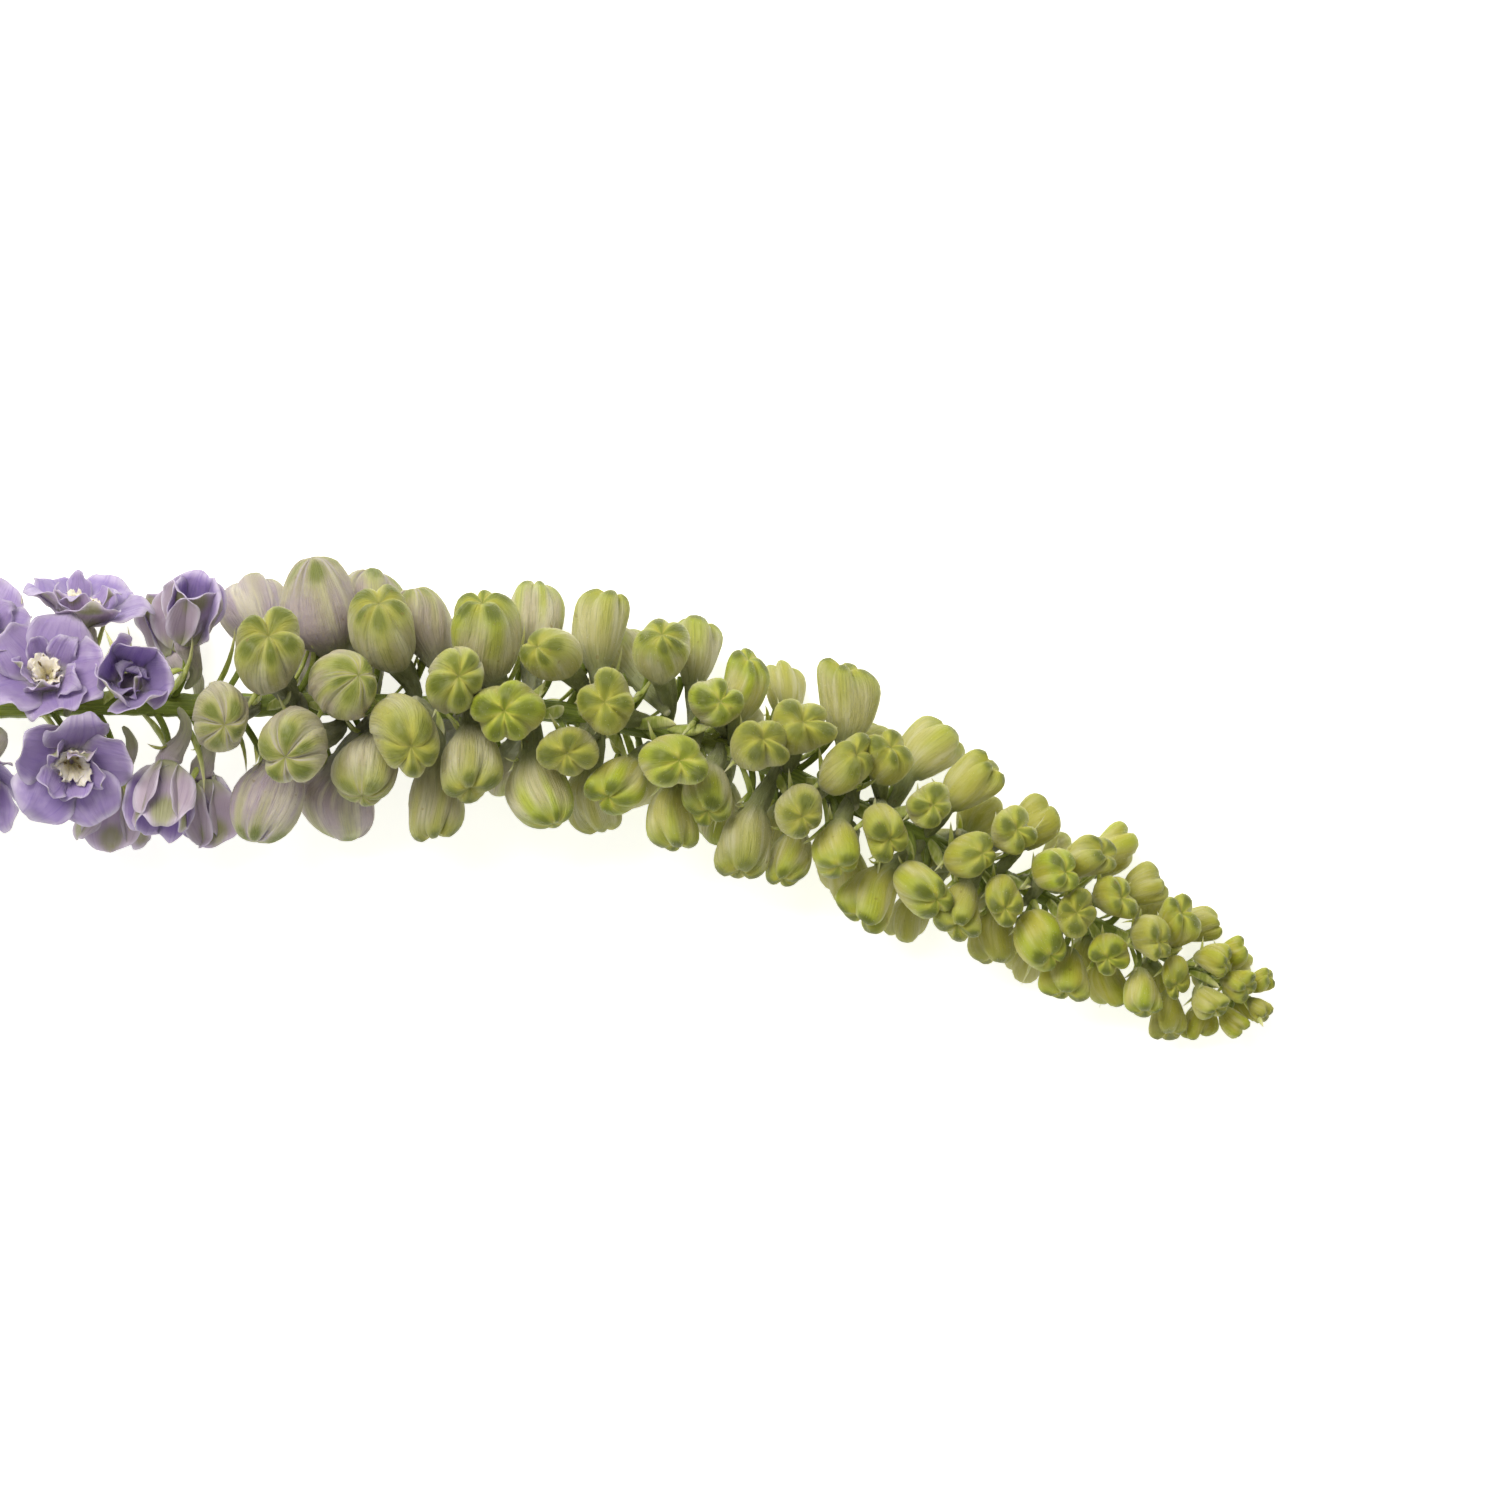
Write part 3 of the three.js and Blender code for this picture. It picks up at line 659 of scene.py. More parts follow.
budShape = {
    "body": [  # along a smooth and a lobed bud's body, then the share of the radius in each
        (0.0, 0.0, 0.43, 0.4), (0.05, 0.05, 0.51, 0.48), (0.12, 0.12, 0.64, 0.59),
        (0.21, 0.21, 0.8, 0.73), (0.31, 0.31, 0.93, 0.86), (0.42, 0.42, 1.0, 0.95),
        (0.53, 0.53, 0.99, 1.01), (0.63, 0.63, 0.94, 1.03), (0.72, 0.72, 0.86, 1.01),
        (0.8, 0.8, 0.75, 0.94), (0.865, 0.86, 0.64, 0.83), (0.92, 0.905, 0.52, 0.7),
        (0.96, 0.935, 0.4, 0.56), (0.985, 0.955, 0.28, 0.42), (1.0, 0.955, 0.18, 0.29),
        (1.008, 0.94, 0.1, 0.16), (1.01, 0.92, 0.04, 0.05),
    ],
    "foldsBack": 4,  # the last of these, which bend back into the end
    "spur": [  # along the spur, share of the radius
        (-1.0, 0.07), (-0.97, 0.14), (-0.86, 0.2), (-0.68, 0.25), (-0.5, 0.29), (-0.32, 0.34), (-0.16, 0.39),
    ],
    "noSpur": [(-0.03, 0.3)],
    "spursUntil": 140,
    "spurStretch": 1.8,
    "wrinkle": 0.13,
    "groove": [(0, 0.0), (0.3, 0.015), (0.5, 0.05), (0.65, 0.11), (0.78, 0.19), (0.88, 0.28), (0.94, 0.36)],
    "knob": 0.34,  # how far the sepals' ends swell, as a share of the radius
    "ripeness": [
        (-92, 1.0), (-66, 0.94), (-40, 0.8), (-12, 0.62), (20, 0.45), (60, 0.33), (117, 0.2), (172, 0.07),
        (195, 0),
    ],
    "uneven": 0.26,  # the range of ripeness among neighbours
    "late": 0.22,  # and how much later those on the upper side ripen
    "lobed": [(0.0, 1.0), (0.2, 0.86), (0.4, 0.7), (0.65, 0.52), (0.9, 0.25)],  # by ripeness; 1 is cleft
    "twist": 0.9,
    "perLobe": 7,
    "edge": 0.955,  # where a ripe sepal's own edge points sit, just short of the joint
    "fiveLobesFrom": 7.4,
    "bend": 0.22,
    "lean": 0.55,  # how far the end stands off the middle line
    "widest": 67.0,  # to the left of the stem's line; what would reach further is drawn in
    "drawnIn": 0.5,
}


def drawnIn(points):
    points[..., 1] -= budShape["drawnIn"] * np.maximum(0, points[..., 1] - budShape["widest"])
    return points


def budAge(f):  # 0 at the growing tip, 1 just before opening
    s = budShape
    late = s["late"] * ease(0.3, 0.9, f.axis[2]) * ease(80, 0, f.x)
    return float(np.clip(ramp(s["ripeness"], f.x) + s["uneven"] * f.swing(49) - late, 0, 1))


def budLine(f, along):  # the bud's middle line, from the spur's end at -1 to the closed end at 1
    s = budShape
    base = f.head - 0.5 * f.length * f.axis
    back, ahead = np.maximum(0, -along), np.maximum(0, along)
    sway, hook = f.swing(41), 1.3 * f.chance(42)
    lean, way = s["lean"] * (0.3 + f.chance(43)), 6.28 * f.chance(45)
    slope = 4 * s["bend"] * f.spur * s["spurStretch"] / f.length
    dorsal = np.where(along < 0, s["bend"] + slope * back, s["bend"] * np.maximum(0, 1 - 2 * ahead) ** 2)
    dorsal = f.radius * (dorsal + 0.25 * back**2 - hook * back**3 + lean * math.cos(way) * ahead**2.5)
    lateral = f.radius * (1.3 * sway * back**2 + lean * math.sin(way) * ahead**2.5)
    line = base + column(ahead * f.length - back * f.spur * s["spurStretch"]) * f.axis
    return line + column(dorsal) * f.dorsal + column(lateral) * f.lateral


def budRings(f, lobed):  # how far along the bud each ring is, and its share of the radius
    s = budShape
    table = [(a + (b - a) * lobed, c + (d - c) * lobed) for a, b, c, d in s["body"]]
    table = (s["noSpur"] if f.x > s["spursUntil"] else s["spur"]) + table
    if f.stage == "tiny":
        table = table[:1] + table[1::2]
    return np.array(table).T


def alongSkin(f, along, share):  # how far along the skin each ring is, from 0 where the spur ends to 1
    steps = np.hypot(np.diff(along * f.length / f.radius), np.diff(share))
    walked = np.concatenate([[0], np.cumsum(steps)])
    outside = slice(None, -budShape["foldsBack"])
    spurEnd = np.interp(0, along[outside], walked[outside])
    return column(np.where(along < 0, along, (walked - spurEnd) / (walked[-1] - spurEnd)))


def addBud(skin, f, slot=0):
    s, ripe, age = budShape, f.stage == "ripe", budAge(f)
    lobes = 5 if f.radius > s["fiveLobesFrom"] else 4
    lobed = float(np.clip(ramp(s["lobed"], age) + 0.6 * f.swing(47), 0.1, 1.05))
    along, share = budRings(f, lobed)
    middle = budLine(f, along)
    tangent = unit(np.gradient(middle, axis=0))
    tangent[along > 0.05] = f.axis
    side = unit(np.cross(tangent, f.dorsal))
    up = np.cross(side, tangent)
    # each sepal takes its share of the turn; a ripe bud has two points at each joint, one on each sepal
    u = np.linspace(-1, 1, s["perLobe"] + 1)[:-1]
    if ripe:
        u = np.linspace(-s["edge"], s["edge"], s["perLobe"] + 2)
    lobe = np.repeat(np.arange(lobes), len(u))
    u = np.tile(u, lobes)
    a = 2 * math.pi * (lobe + u / 2) / lobes
    a = a + 0.2 * np.sin(a + 6 * f.chance(44)) + 0.1 * np.sin(2 * a + 6 * f.chance(48))
    twisted = a + s["twist"] * f.swing(50) * column(ease(0.3, 1.0, along))
    crest = 1 - (1 - np.abs(np.cos(math.pi * u / 2))) ** 1.6
    size = np.array([0.35 + 1.05 * f.chance(120 + k) for k in range(lobes)])[lobe]
    cleft = np.array([0.35 + f.chance(130 + k) for k in range(lobes)])[(lobe + (u > 0)) % lobes]
    squash = 1 + 0.11 * np.cos(2 * a + 6 * f.chance(46)) + 0.03 * np.cos(a + 6 * f.chance(40))
    radius = column(share) * (1 - column(lobed * ramp(s["groove"], along)) * (1 - crest) * cleft) * squash
    wrinkle = s["wrinkle"] * hump(along + 0.4, 0.35) + 0.012
    radius = radius * (1 + column(wrinkle) * np.cos(6 * a + 5 * column(along) + f.i))
    if ripe:  # one edge of each sepal lies over the next
        overlap = column(ease(0.1, 0.6, along) * ease(0.0, 0.3, share))
        radius = radius + 0.1 * overlap * np.maximum(0, u) ** 1.5
    else:  # a low rib down each sepal
        radius = radius + 0.03 * column(ease(0.2, 0.5, along) * ease(0.1, 0.5, share)) * hump(u, 0.16)
    swell = s["knob"] * lobed * column(ease(0.5, 0.9, along) * ease(0.0, 0.4, share)) * crest * size
    rings = ringsOn(middle, f.radius * (radius + 0.62 * swell), twisted, up, side)
    rings = rings + (f.radius * 0.7 * swell)[..., None] * f.axis
    walked = alongSkin(f, along, share)
    streak = triples(np.cos(a), np.sin(a) + 7 * f.i, 2.5 * walked)
    place = triples(np.abs(u), walked, size - 0.35)
    end = middle[-1] - 0.02 * f.radius * f.axis
    addTube(skin, drawnIn(rings), middle[0], drawnIn(end), streak, place, (age, f.chance(39), 0), slot)


sepalShape = {
    "rows": 19,
    "cols": 15,
    "foot": 0.72,
    "spread": 2.6,  # how far the feet of upright sepals stand off the flower's middle
    "thick": 0.36,
    "overlap": 1.5,  # one edge lies over the next sepal
    "floret": {"halfWidth": 9.2, "cupping": 1.0, "ruffle": 1.1, "start": 1.0},
    "opening": {"halfWidth": 8.0, "cupping": 6.5, "ruffle": 0.65, "start": 1.0},
    "near": 42.0,  # buds and flowers that are nearer than this are given room
    "roomByBud": 1.12,  # as a share of the ball that stands for it
    "roomByFlower": 0.7,
    "gap": 0.3,
}
innerShape = {
    "leastOpening": 46.0,
    "floret": {"count": 5, "length": 11.5},
    "opening": {"count": 4, "length": 8.5},
    "blade": {"halfWidth": 4.6, "cupping": 2.0, "ruffle": 0.9, "start": 2.4},
}
spurShape = {
    "length": 14.0,
    "along": [0, 0.04, 0.15, 0.3, 0.5, 0.7, 0.85, 1, 1.07, 1.13, 1.18],
    "radius": [0.4, 0.85, 1.15, 1.45, 1.9, 2.5, 3.0, 3.3, 2.9, 2.1, 0.9],
    "wrinkle": 0.1,
    "sides": 14,
    "rings": 19,
}


def petalFrame(f, turn, opening):  # the ways out from the axis, across, along and to the inner side
    out = f.spoke(turn)
    direction = math.cos(opening) * out + math.sin(opening) * f.axis
    inner = math.cos(opening) * f.axis - math.sin(opening) * out
    return out, f.spoke(turn + math.pi / 2), direction, inner


def petalGrid(s):
    return np.linspace(-1, 1, s["cols"])[None], column(np.linspace(0, 1, s["rows"]))


def addPetal(skin, f, seed, turn, opening, length, halfWidth, blade, look):
    s, ruffle = sepalShape, blade["ruffle"]
    out, across, direction, inner = petalFrame(f, turn, opening)
    u, v = petalGrid(s)
    phase = [6.28 * chance(f.i * 17 + seed, k) for k in (61, 62, 63, 64)]
    # a square grid drawn out to a round blade with a narrow foot
    t = (1 + s["foot"]) * v - s["foot"]
    x, y = u * np.sqrt(1 - 0.5 * t**2), t * np.sqrt(1 - 0.5 * u**2)
    reach = np.maximum(0, (y + s["foot"]) / (1 + s["foot"]))
    side = halfWidth * x * (0.42 + 0.68 * (1 - (1 - reach) ** 2.2))
    rim, way = np.minimum(1, np.hypot(x, y)), np.arctan2(x, y)
    point = (0.09 * chance(f.i * 17 + seed, 60) - 0.05) * hump(u, 0.2) * v**6
    far = blade["start"] + length * (reach + point + 0.02 * np.sin(6 * way + phase[3]) * rim**4)
    # cupped, wavy towards the rim, rolled at the end, with a groove down the middle
    lift = s["overlap"] * u * np.minimum(1, 3 * v) + 1.6 * v * (1 - v)
    lift = lift + blade["cupping"] * (reach**2 + 0.25 * x**2 * v)
    wave = rim**5 * np.sin(5 * way + phase[0]) + 0.6 * rim**7 * np.sin(9 * way + phase[1])
    lift = lift + ruffle * v * wave + 0.6 * ruffle * np.sin(2.6 * x + 2 * reach + phase[2]) * v
    curl = (1.3 if phase[0] > 3 else -0.4) * ruffle
    lift = lift - 12 * curl * np.maximum(0, rim * reach - 0.62) ** 2 - 0.3 * hump(u, 0.16) * v * (1 - 0.5 * v)
    grid = f.head + far[..., None] * direction + side[..., None] * across + lift[..., None] * inner
    grid = grid + s["spread"] * max(0, math.sin(opening)) * (1 - reach[..., None]) ** 2 * out
    grid = keepClear(grid.reshape(-1, 3), f).reshape(grid.shape)
    streak = triples(u * (0.45 + 0.65 * v), 2.3 * seed + 5.0 * f.i, v)
    taper = s["thick"] * (1 - 0.6 * np.abs(u) ** 3) * (1 - 0.4 * v**3)
    addSheet(skin, grid, taper, streak, triples(np.abs(u), v, 0), look)


def keepClear(points, f):  # petals lie round the buds beside them instead of passing through them
    s = sepalShape
    for other in flowers:
        if other.i == f.i or np.linalg.norm(other.head - f.head) > s["near"]:
            continue
        for at, r in other.balls()[:1] if other.isOpen else other.balls():
            away = points - at
            distance = np.linalg.norm(away, axis=1, keepdims=True)
            room = s["roomByFlower" if other.isOpen else "roomByBud"] * r + s["gap"]
            pushed = at + away / distance * (0.35 * distance + 0.65 * room)
            points = np.where(distance < room, pushed, points)
    return points


def addSpur(skin, f):
    s = spurShape
    t = np.concatenate([np.linspace(0, 1, s["rings"]), s["along"][-3:]])
    behind = np.maximum(0, 1 - t)
    rise = 1.2 + 7.0 * behind - (4.0 + 4.0 * f.chance(42)) * behind**3
    middle = f.head - column(s["length"] * (1 - t)) * f.axis
    middle = middle + column(rise * (1 - np.minimum(1, t) ** 3)) * f.dorsal
    middle = middle + column(5 * f.swing(41) * behind**2) * f.lateral
    tangent = unit(np.gradient(middle, axis=0))
    side = unit(np.cross(tangent, f.dorsal))
    radius = column(np.interp(t, s["along"], s["radius"]))
    a, t = around(s["sides"]), column(t)
    fold = np.cos(5 * a + 6 * t + f.i) + 0.5 * np.cos(3 * a - 17 * t + f.i) + 0.3 * np.sin(31 * t + 2 * a)
    rings = ringsOn(middle, radius * (1 + s["wrinkle"] * fold), a, np.cross(side, tangent), side)
    streak = triples(np.cos(a), np.sin(a) + 7 * f.i, t)
    place = triples(0.6, 0.3 * t * np.ones_like(a), -1)
    addTube(skin, rings, middle[0], middle[-1], streak, place, (0.9, 0.6 * f.chance(64), 0))


def addFlowerHead(skin, f):
    tone, outer, inner = f.chance(65), sepalShape[f.stage], innerShape[f.stage]
    addSpur(skin, f)
    for k in range(5):
        turn = math.radians(72 * k + 8 * f.swing(10 + k))
        opening = math.radians(f.opening() + 8 * f.swing(20 + k))
        size = 0.94 + 0.12 * f.chance(86 + k)
        length, halfWidth = size * layoutRules["sepalLength"], size * outer["halfWidth"]
        look = (1, 0.6 * tone + 0.4 * f.chance(66 + k), 0)
        addPetal(skin, f, k, turn, opening, length, halfWidth, outer, look)
    for k in range(inner["count"]):
        turn = 2 * math.pi * (k + 0.5 + 0.3 * f.chance(71 + k)) / inner["count"]
        opening = math.radians(max(innerShape["leastOpening"], f.opening() + 16) + 14 * f.swing(81 + k))
        length = inner["length"] * (0.8 + 0.35 * f.chance(91 + k))
        halfWidth = innerShape["blade"]["halfWidth"] * (0.8 + 0.3 * f.chance(99 + k))
        look = (1, 0.5 * tone + 0.3 * f.chance(96 + k), 0)
        addPetal(skin, f, 9 + k, turn, opening, length, halfWidth, innerShape["blade"], look)


eyeShape = {
    "petals": 6,
    "length": 7.2,
    "halfWidth": 3.0,
    "outline": [(0, 0.2), (0.35, 0.4), (0.6, 0.8), (0.8, 1.0), (0.93, 0.95), (1, 0.75)],
    "opening": 54.0,
    "openingRange": 20.0,
    "forward": 1.8,
    "start": 1.2,
    "rows": 11,
    "cols": 9,
    "thick": 0.38,
}


def addEye(skin, f):
    s = eyeShape
    u, v = petalGrid(s)
    middle = f.head + s["forward"] * f.axis
    side = u * s["halfWidth"] * ramp(s["outline"], v)
    for k in range(s["petals"]):
        turn = 2 * math.pi * (k + 0.4 * f.chance(110 + k)) / s["petals"]
        opening = math.radians(s["opening"] + s["openingRange"] * f.swing(130 + k))
        _, across, direction, inner = petalFrame(f, turn, opening)
        length = s["length"] * (0.8 + 0.3 * f.chance(140 + k))
        notch = 0.2 * u**2 * v + 0.16 * hump(u, 0.2) * v**5
        far = s["start"] + length * (v + 0.04 * np.cos(7 * u + k) * v**3 - notch)
        wave = 0.6 * np.sin(6 * v + 4 * u + k) * np.abs(u) * v + 0.5 * np.sin(7 * u + 2 * k) * v**3
        lift = 1.3 * v**2 + wave - 2.4 * np.maximum(0, v - 0.6)
        grid = middle + far[..., None] * direction + side[..., None] * across + lift[..., None] * inner
        thick = s["thick"] * (1 - 0.5 * np.abs(u) ** 3) * np.ones_like(v)
        streak = triples(u * 0.5, 1.7 * k + 3.0 * f.i, v)
        addSheet(skin, grid, thick, streak, triples(np.abs(u), v, 0), (1, f.chance(150 + k), 0))


class Growth(Nodes):  # one geometry node tree, which grows on a host object as a plain mesh
    def __init__(self, name, **inputs):
        self.tree = bpy.data.node_groups.new(name, "GeometryNodeTree")
        face = self.tree.interface
        face.new_socket("Geometry", in_out="INPUT", socket_type="NodeSocketGeometry")
        face.new_socket("Geometry", in_out="OUTPUT", socket_type="NodeSocketGeometry")
        for label, value in inputs.items():
            kind = "NodeSocketInt" if isinstance(value, int) else "NodeSocketFloat"
            face.new_socket(label, in_out="INPUT", socket_type=kind).default_value = value
        self.given = self.tree.nodes.new("NodeGroupInput").outputs
        self.result = self.tree.nodes.new("NodeGroupOutput").inputs[0]

    def vector(self, x, y, z):
        return self.node("ShaderNodeCombineXYZ", {0: x, 1: y, 2: z})

    def read(self, name):
        return self.node("GeometryNodeInputNamedAttribute", {"Name": name}, data_type="FLOAT_VECTOR")

    def swept(self, steps, bow, at, width, sides, radius):  # a flat ring swept along an arc, one unit long
        given = self.given
        tip = self.vector(given["Curl"], 0.0, 1.0)
        arc = self.node("GeometryNodeCurveQuadraticBezier", {0: steps, 1: (0, 0, 0), 2: bow, 3: tip})
        arc = self.node(  # what the material reads: how far along each point is
            "GeometryNodeStoreNamedAttribute",
            {"Geometry": arc, "Name": "blade", "Value": self.vector(0.0, at, 0.0)},
            data_type="FLOAT_VECTOR", domain="POINT",
        )
        ring = self.node("GeometryNodeCurvePrimitiveCircle", {"Resolution": sides, "Radius": radius})
        flat = self.vector(1.0, given["Flat"], 1.0)
        ring = self.node("GeometryNodeTransform", {"Geometry": ring, "Scale": flat})
        sweep = {"Curve": arc, "Profile Curve": ring, "Scale": width, "Fill Caps": True}
        return self.node("GeometryNodeCurveToMesh", sweep)

    def planted(self, shape):  # a copy on each point of a seed bed, its length along facing
        align = "FunctionNodeAlignRotationToVector"
        turn = self.node(align, {"Vector": self.read("facing")}, axis="Z")
        turn = self.node(align, {"Rotation": turn, "Vector": self.read("flat")}, axis="X", pivot_axis="Z")
        return self.copies(self.given["Geometry"], shape, turn, self.read("size"))

    def copies(self, points, shape, turn, size):
        inputs = {"Points": points, "Instance": shape, "Rotation": turn, "Scale": size}
        return self.node("GeometryNodeInstanceOnPoints", inputs)

    def end(self, geometry, material):
        geometry = self.node("GeometryNodeRealizeInstances", {0: geometry})
        geometry = self.node("GeometryNodeSetShadeSmooth", {0: geometry})
        geometry = self.node("GeometryNodeSetMaterial", {"Geometry": geometry, "Material": material})
        self.tree.links.new(geometry, self.result)

    def on(self, host, name, **inputs):
        modifier = host.modifiers.new("growth", "NODES")
        modifier.node_group = self.tree
        for item in self.tree.interface.items_tree:
            if item.name in inputs:
                modifier[item.identifier] = inputs[item.name]
        mesh = bpy.data.meshes.new_from_object(host.evaluated_get(bpy.context.evaluated_depsgraph_get()))
        host.modifiers.remove(modifier)
        mesh.name = name
        points = np.empty(3 * len(mesh.vertices), np.float32)
        mesh.vertices.foreach_get("co", points)
        points[2::3] = flattened(points[2::3], layoutRules["film"] / 1000)
        mesh.vertices.foreach_set("co", points)
        print(name + ":", sum(len(p.vertices) - 2 for p in mesh.polygons), "triangles")
        return inScene(name, mesh)


def growOnSeeds(tree, name, seeds, slot, **inputs):  # a seed is a root, a facing, its flat side and its size
    roots, facings, flats, sizes = (np.array(rows, float) for rows in zip(*seeds))
    mesh = bpy.data.meshes.new(name + "Bed")
    mesh.from_pydata(inFrame(roots).tolist(), [], [])
    for key, rows in (("facing", facings), ("flat", flats), ("size", sizes / 1000)):
        keepVectors(mesh, key, rows)
    bed = inScene(name + "Bed", mesh)
    addOn(tree.on(bed, name, **inputs), slot)
    bpy.data.objects.remove(bed)


def bladeTree(material):  # a narrow blade, widest low down
    g = Growth("blades", Curl=0.2, Flat=0.25, Widest=0.35, Sides=6, Steps=7)
    given = g.given
    bow = g.vector(g.math("MULTIPLY", given["Curl"], -0.35), 0.0, 0.5)
    at = g.node("GeometryNodeSplineParameter")
    rise = g.math("POWER", g.math("DIVIDE", at, given["Widest"]), 0.7)
    rise = g.math("MINIMUM", g.math("ADD", rise, 0.5), 1.5)
    fall = g.math("SUBTRACT", 1.0, g.math("POWER", at, 2.2))
    wide = g.math("ADD", g.math("MULTIPLY", rise, fall), 0.06)
    g.end(g.planted(g.swept(given["Steps"], bow, at, wide, given["Sides"], 0.66)), material)
    return g


bractShape = {
    "length": 20.0,
    "halfWidth": 1.75,
    "curl": 0.26,
    "flat": 0.03,
    "scaleLength": 9.5,
    "scaleHalfWidth": 0.85,
    "scaleCurl": 0.38,
    "scalePlaces": (0.6, 0.76),  # along the flower stalk
    "scalesUntil": 196.0,
    "least": 0.6,  # the share of these sizes that is left at the growing tip
    "leafy": 1.4,  # and the share below the open flowers
}


def makeBracts(material):  # one bract at the foot of each flower stalk, and two little scales near its flower
    s = bractShape
    bracts, scales = [], []
    for f in flowers:
        small = s["leafy"] if f.isOpen else max(s["least"], min(1, f.length / 14))
        root = f.point - 2.0 * f.along + 0.8 * rule("stemRadius", f.x) * f.out
        facing = unit(0.8 * f.out + 0.65 * f.along + 1.3 * f.swing(35) * f.lateral)
        flat = unit(f.out - f.along + 0.8 * f.swing(36) * f.lateral)
        length = s["length"] * small * (0.7 + 0.5 * f.chance(34))
        wide = s["halfWidth"] * small * (0.8 + 0.5 * f.chance(33))
        bracts.append((root, facing, flat, (length, wide, length)))
        for k, where in enumerate(s["scalePlaces"] if f.x < s["scalesUntil"] else ()):
            root, tangent = stalkLine(f, where)
            side = (1 if k else -1) * f.lateral - 0.5 * f.dorsal
            facing = unit(0.9 * tangent + (0.35 + 0.6 * f.chance(31 + k)) * side)
            length = s["scaleLength"] * small * (0.6 + 0.7 * f.chance(37 + k))
            scales.append((root, facing, side, (length, s["scaleHalfWidth"] * small, length)))
    blades = bladeTree(material)
    growOnSeeds(blades, "bracts", bracts, "green", Curl=s["curl"], Flat=s["flat"])
    growOnSeeds(blades, "bracteoles", scales, "green", Curl=s["scaleCurl"], Flat=s["flat"])


stamenShape = {"perFlower": 10, "length": 6.2, "wide": 0.36, "steps": 9, "sides": 5}


def stamenTree(material):  # a thin thread with a long head
    g = Growth("stamens", Curl=0.16, Flat=0.055)
    at = g.node("GeometryNodeSplineParameter")
    head = g.math("MULTIPLY", g.smooth(at, 0.7, 0.82), g.smooth(at, 1.02, 0.9))
    width = g.math("ADD", head, 0.25)
    stamen = g.swept(stamenShape["steps"], (0, 0, 0.5), at, width, stamenShape["sides"], 1.0)
    g.end(g.planted(stamen), material)
    return g


def makeStamens(material):
    s, seeds = stamenShape, []
    for f in flowers:
        for k in range(s["perFlower"] if f.stage == "floret" else 0):
            outward, spread = f.spoke(2.4 * k), 0.25 + 0.9 * math.sqrt(k / s["perFlower"])
            root = f.head + 1.5 * f.axis + 0.5 * outward
            length = s["length"] * (0.75 + 0.35 * f.chance(160 + k))
            seeds.append((root, unit(f.axis + 0.5 * spread * outward), outward, (length, s["wide"], length)))
    growOnSeeds(stamenTree(material), "stamens", seeds, "eye")


downShape = {  # the density is in hairs to a square metre
    "stem": {"Density": 260000.0, "Length": 0.00055, "Radius": 0.000035, "Seed": 4},
    "eye": {"Density": 500000.0, "Length": 0.0013, "Radius": 0.00005, "Seed": 7},
}


def downTree(material):  # fine hairs, each a three-sided spike, standing on a host's faces
    g = Growth("down", Density=1000.0, Length=0.0005, Radius=0.00004, Lean=0.6, Seed=1)
    given, seed = g.given, {"Seed": g.given["Seed"]}
    spread = {"Mesh": given["Geometry"], "Density": given["Density"], **seed}
    points = g.node("GeometryNodeDistributePointsOnFaces", spread)
    cone = {"Vertices": 3, "Radius Top": 0.0, "Radius Bottom": given["Radius"], "Depth": given["Length"]}
    spike = g.node("GeometryNodeMeshCone", cone)
    most = g.vector(given["Lean"], given["Lean"], 3.0)
    least = g.node("ShaderNodeVectorMath", {0: most, 1: (-1, -1, -1)}, operation="MULTIPLY")
    lean = g.node("FunctionNodeRandomValue", {0: least, 1: most, **seed}, data_type="FLOAT_VECTOR")
    standing = points.node.outputs["Rotation"]
    turn = g.node("FunctionNodeRotateRotation", {0: standing, 1: lean}, rotation_space="LOCAL")
    size = g.node("FunctionNodeRandomValue", {2: 0.5, 3: 1.0, **seed}, output=1, data_type="FLOAT")
    g.end(g.copies(points, spike, turn, size), material)
    return g


def addOn(piece, slot):
    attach(piece, "root")


def dress(piece, node, slot):
    addOn(piece, slot)
    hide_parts(node)


bloomNames = {  # by stage: a piece's name, and that of the node it replaces
    "floret": ("floret", "floret"),
    "opening": ("openingFlower", "opening_flower"),
    "ripe": ("ripeBud", "ripe_bud"),
}


def makeGreenBody(down):
    skin = Skin()
    addStem(skin)
    for f in flowers:
        addStalk(skin, f)
    stalkTriangles = skin.triangles()
    for f in flowers:
        if f.stage not in bloomNames:
            addBud(skin, f, 1)
    print("stem with green buds:", skin.triangles(), "triangles, of which stem and stalks", stalkTriangles)
    body = meshFrom("stemWithGreenBuds", skin, [greenMaterial(), budSkin])
    dress(body, "stem_with_green_buds", "green")
    addOn(down.on(body, "stemDown", **downShape["stem"]), "green")


def makeBlooms(down):
    sepalSkin, eyeSkin = sepalMaterial(), eyeMaterial()
    counts, total = dict.fromkeys(bloomNames, 0), 0
    for f in flowers:
        if f.stage not in bloomNames:
            continue
        counts[f.stage] += 1
        number = f"{counts[f.stage]:02d}"
        name, node = bloomNames[f.stage]
        skin = Skin()
        if f.stage == "ripe":
            addBud(skin, f)
        else:
            addFlowerHead(skin, f)
        piece = meshFrom(name + number, skin, [budSkin if f.stage == "ripe" else sepalSkin])
        dress(piece, f"{node}_{number}", f.stage)
        total += skin.triangles()
        if f.stage == "floret":
            skin = Skin()
            addEye(skin, f)
            eye = meshFrom(f"eye{number}", skin, [eyeSkin])
            dress(eye, f"eye_{number}", "eye")
            addOn(down.on(eye, f"eyeDown{number}", **downShape["eye"]), "eye")
            total += skin.triangles()
    print("blooms:", total, "triangles")


budSkin = budMaterial()
down = downTree(downMaterial())
makeGreenBody(down)
makeBlooms(down)
makeBracts(bractMaterial())
makeStamens(stamenMaterial())

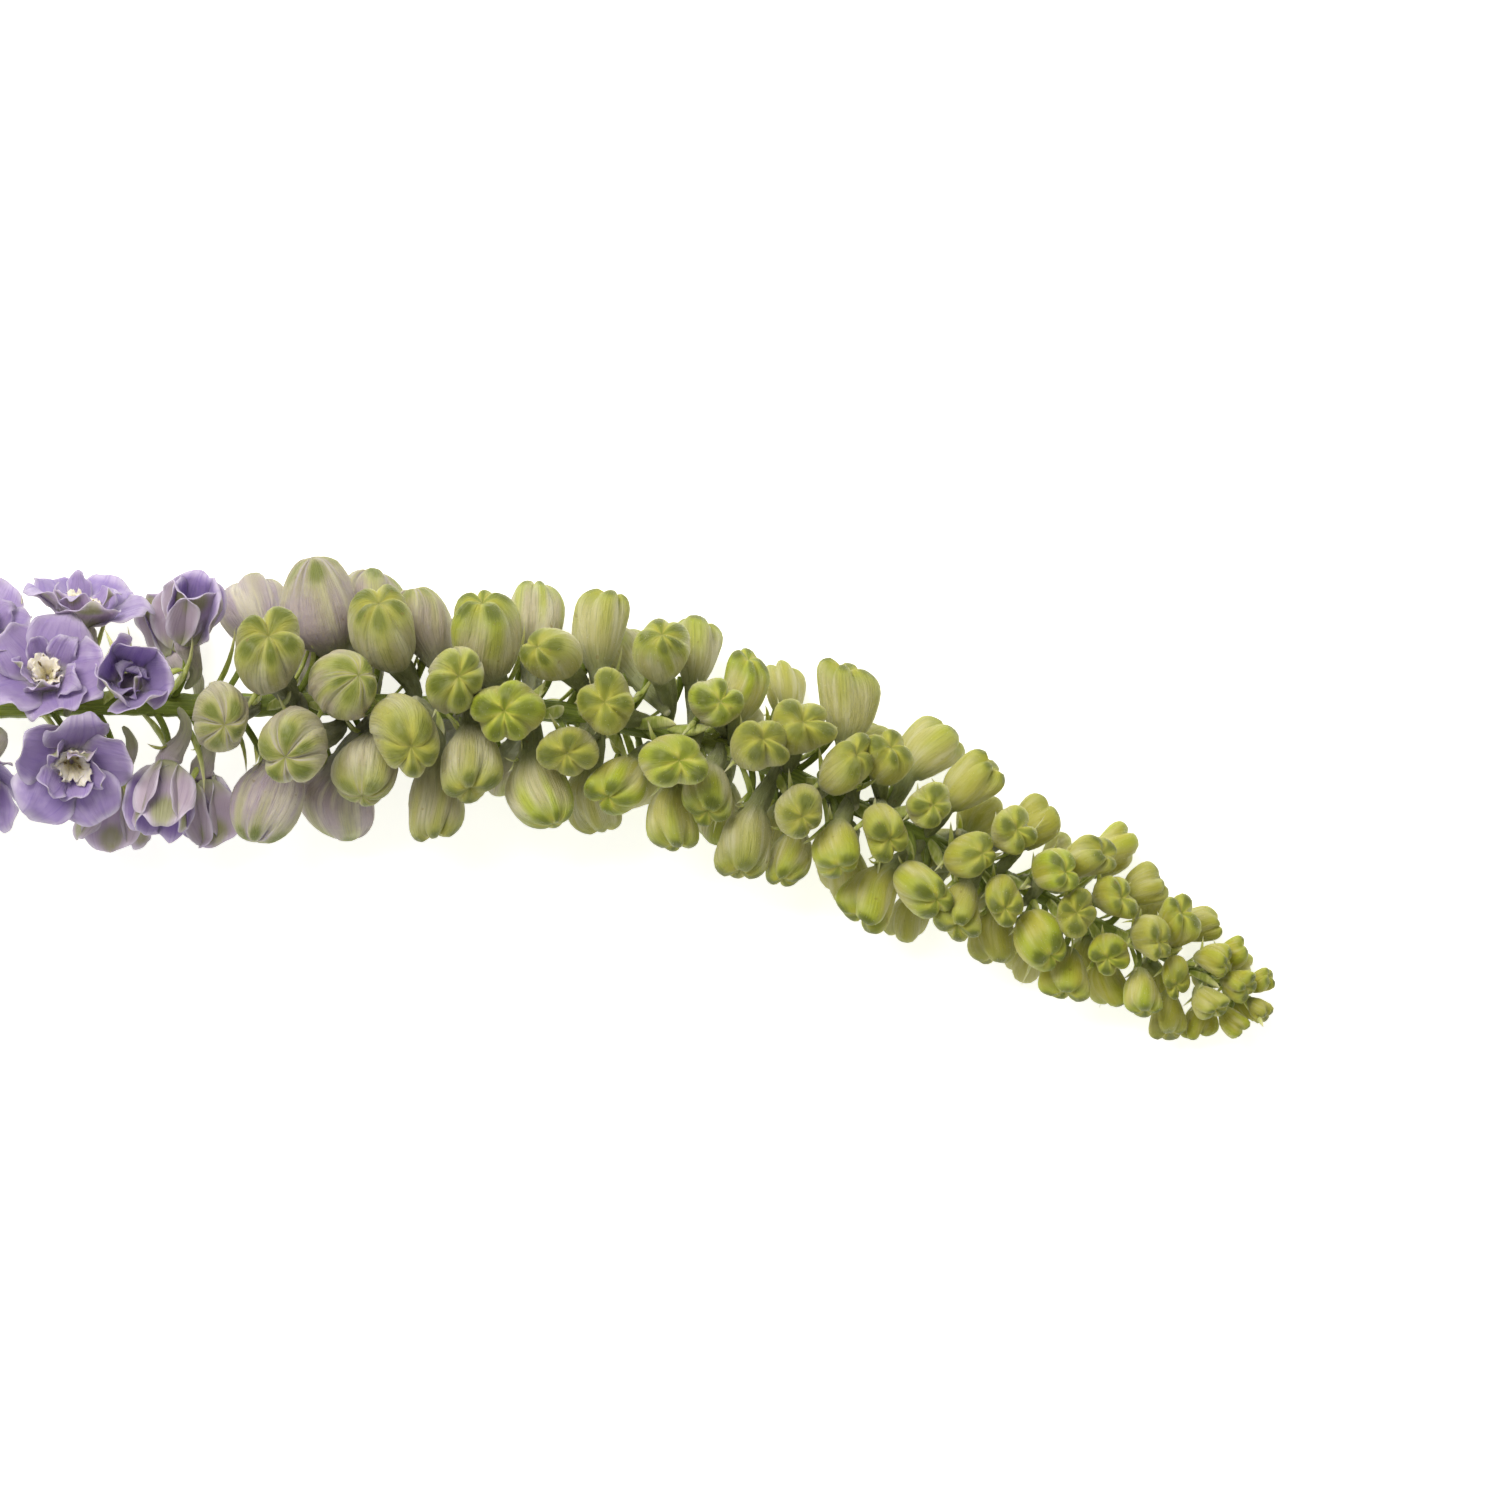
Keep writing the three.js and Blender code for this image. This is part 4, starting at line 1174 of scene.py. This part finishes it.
studio = {
    "viewWidth": 0.3958,  # how much of the table the picture's width takes in
    "viewCentre": (0.0841, 0.0137),
    "viewHeight": 0.025,  # how high above the table that width holds
    "lens": 100.0,
    "sensor": 36.0,
    "tableHalf": 4.0,
    "floorColour": "#f8f8f6",
    "floorShade": "#ececea",
    "floorGlow": 0.72,
    "skyColour": "#fffdf6",
    "skyStrength": 0.42,
    "keyColour": "#fffaf2",
    "keyPower": 19.0,
    "keySize": 0.8,
    "keyPlace": (-0.35, 0.7, 1.15),
    "keyTurn": (-31, -17, 0),  # degrees
}


def makeStudio():
    s = studio
    far = s["tableHalf"]
    mesh = bpy.data.meshes.new("table")
    mesh.from_pydata([(-far, -far, 0), (far, -far, 0), (far, far, 0), (-far, far, 0)], [], [(0, 1, 2, 3)])
    m = Recipe("tableTop")
    m.body = m.mix(m.times(m.noise(m.here(), 40, 2), 0.05), s["floorColour"], s["floorShade"])
    glow = {"Emission_Color": paint(s["floorColour"]), "Emission_Strength": s["floorGlow"]}
    mesh.materials.append(m.finish(0.9, **glow))
    inScene("table", mesh)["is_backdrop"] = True

    world = bpy.data.worlds.new("sky")
    world.use_nodes = True
    background = world.node_tree.nodes["Background"].inputs
    background[0].default_value = paint(s["skyColour"])
    background[1].default_value = s["skyStrength"]
    bpy.context.scene.world = world

    light = bpy.data.lights.new("softbox", "AREA")
    light.shape, light.size, light.energy = "SQUARE", s["keySize"], s["keyPower"]
    light.color = paint(s["keyColour"])[:3]
    softbox = inScene("softbox", light)
    softbox.location = s["keyPlace"]
    softbox.rotation_euler = [math.radians(turn) for turn in s["keyTurn"]]

    lens = bpy.data.cameras.new("camera")
    lens.sensor_width, lens.lens, lens.clip_end = s["sensor"], s["lens"], 20.0
    camera = inScene("camera", lens)
    camera.location = (*s["viewCentre"], s["viewWidth"] * s["lens"] / s["sensor"] + s["viewHeight"])
    bpy.context.scene.camera = camera
    bpy.context.scene.view_settings.view_transform = "Standard"
    print("studio ready")


makeStudio()

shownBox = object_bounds()
for label, box in (("the source's box in mm:", cadBox), ("the shown box in mm:", shownBox)):
    print(label, [[round(1000 * v, 1) for v in corner] for corner in box])
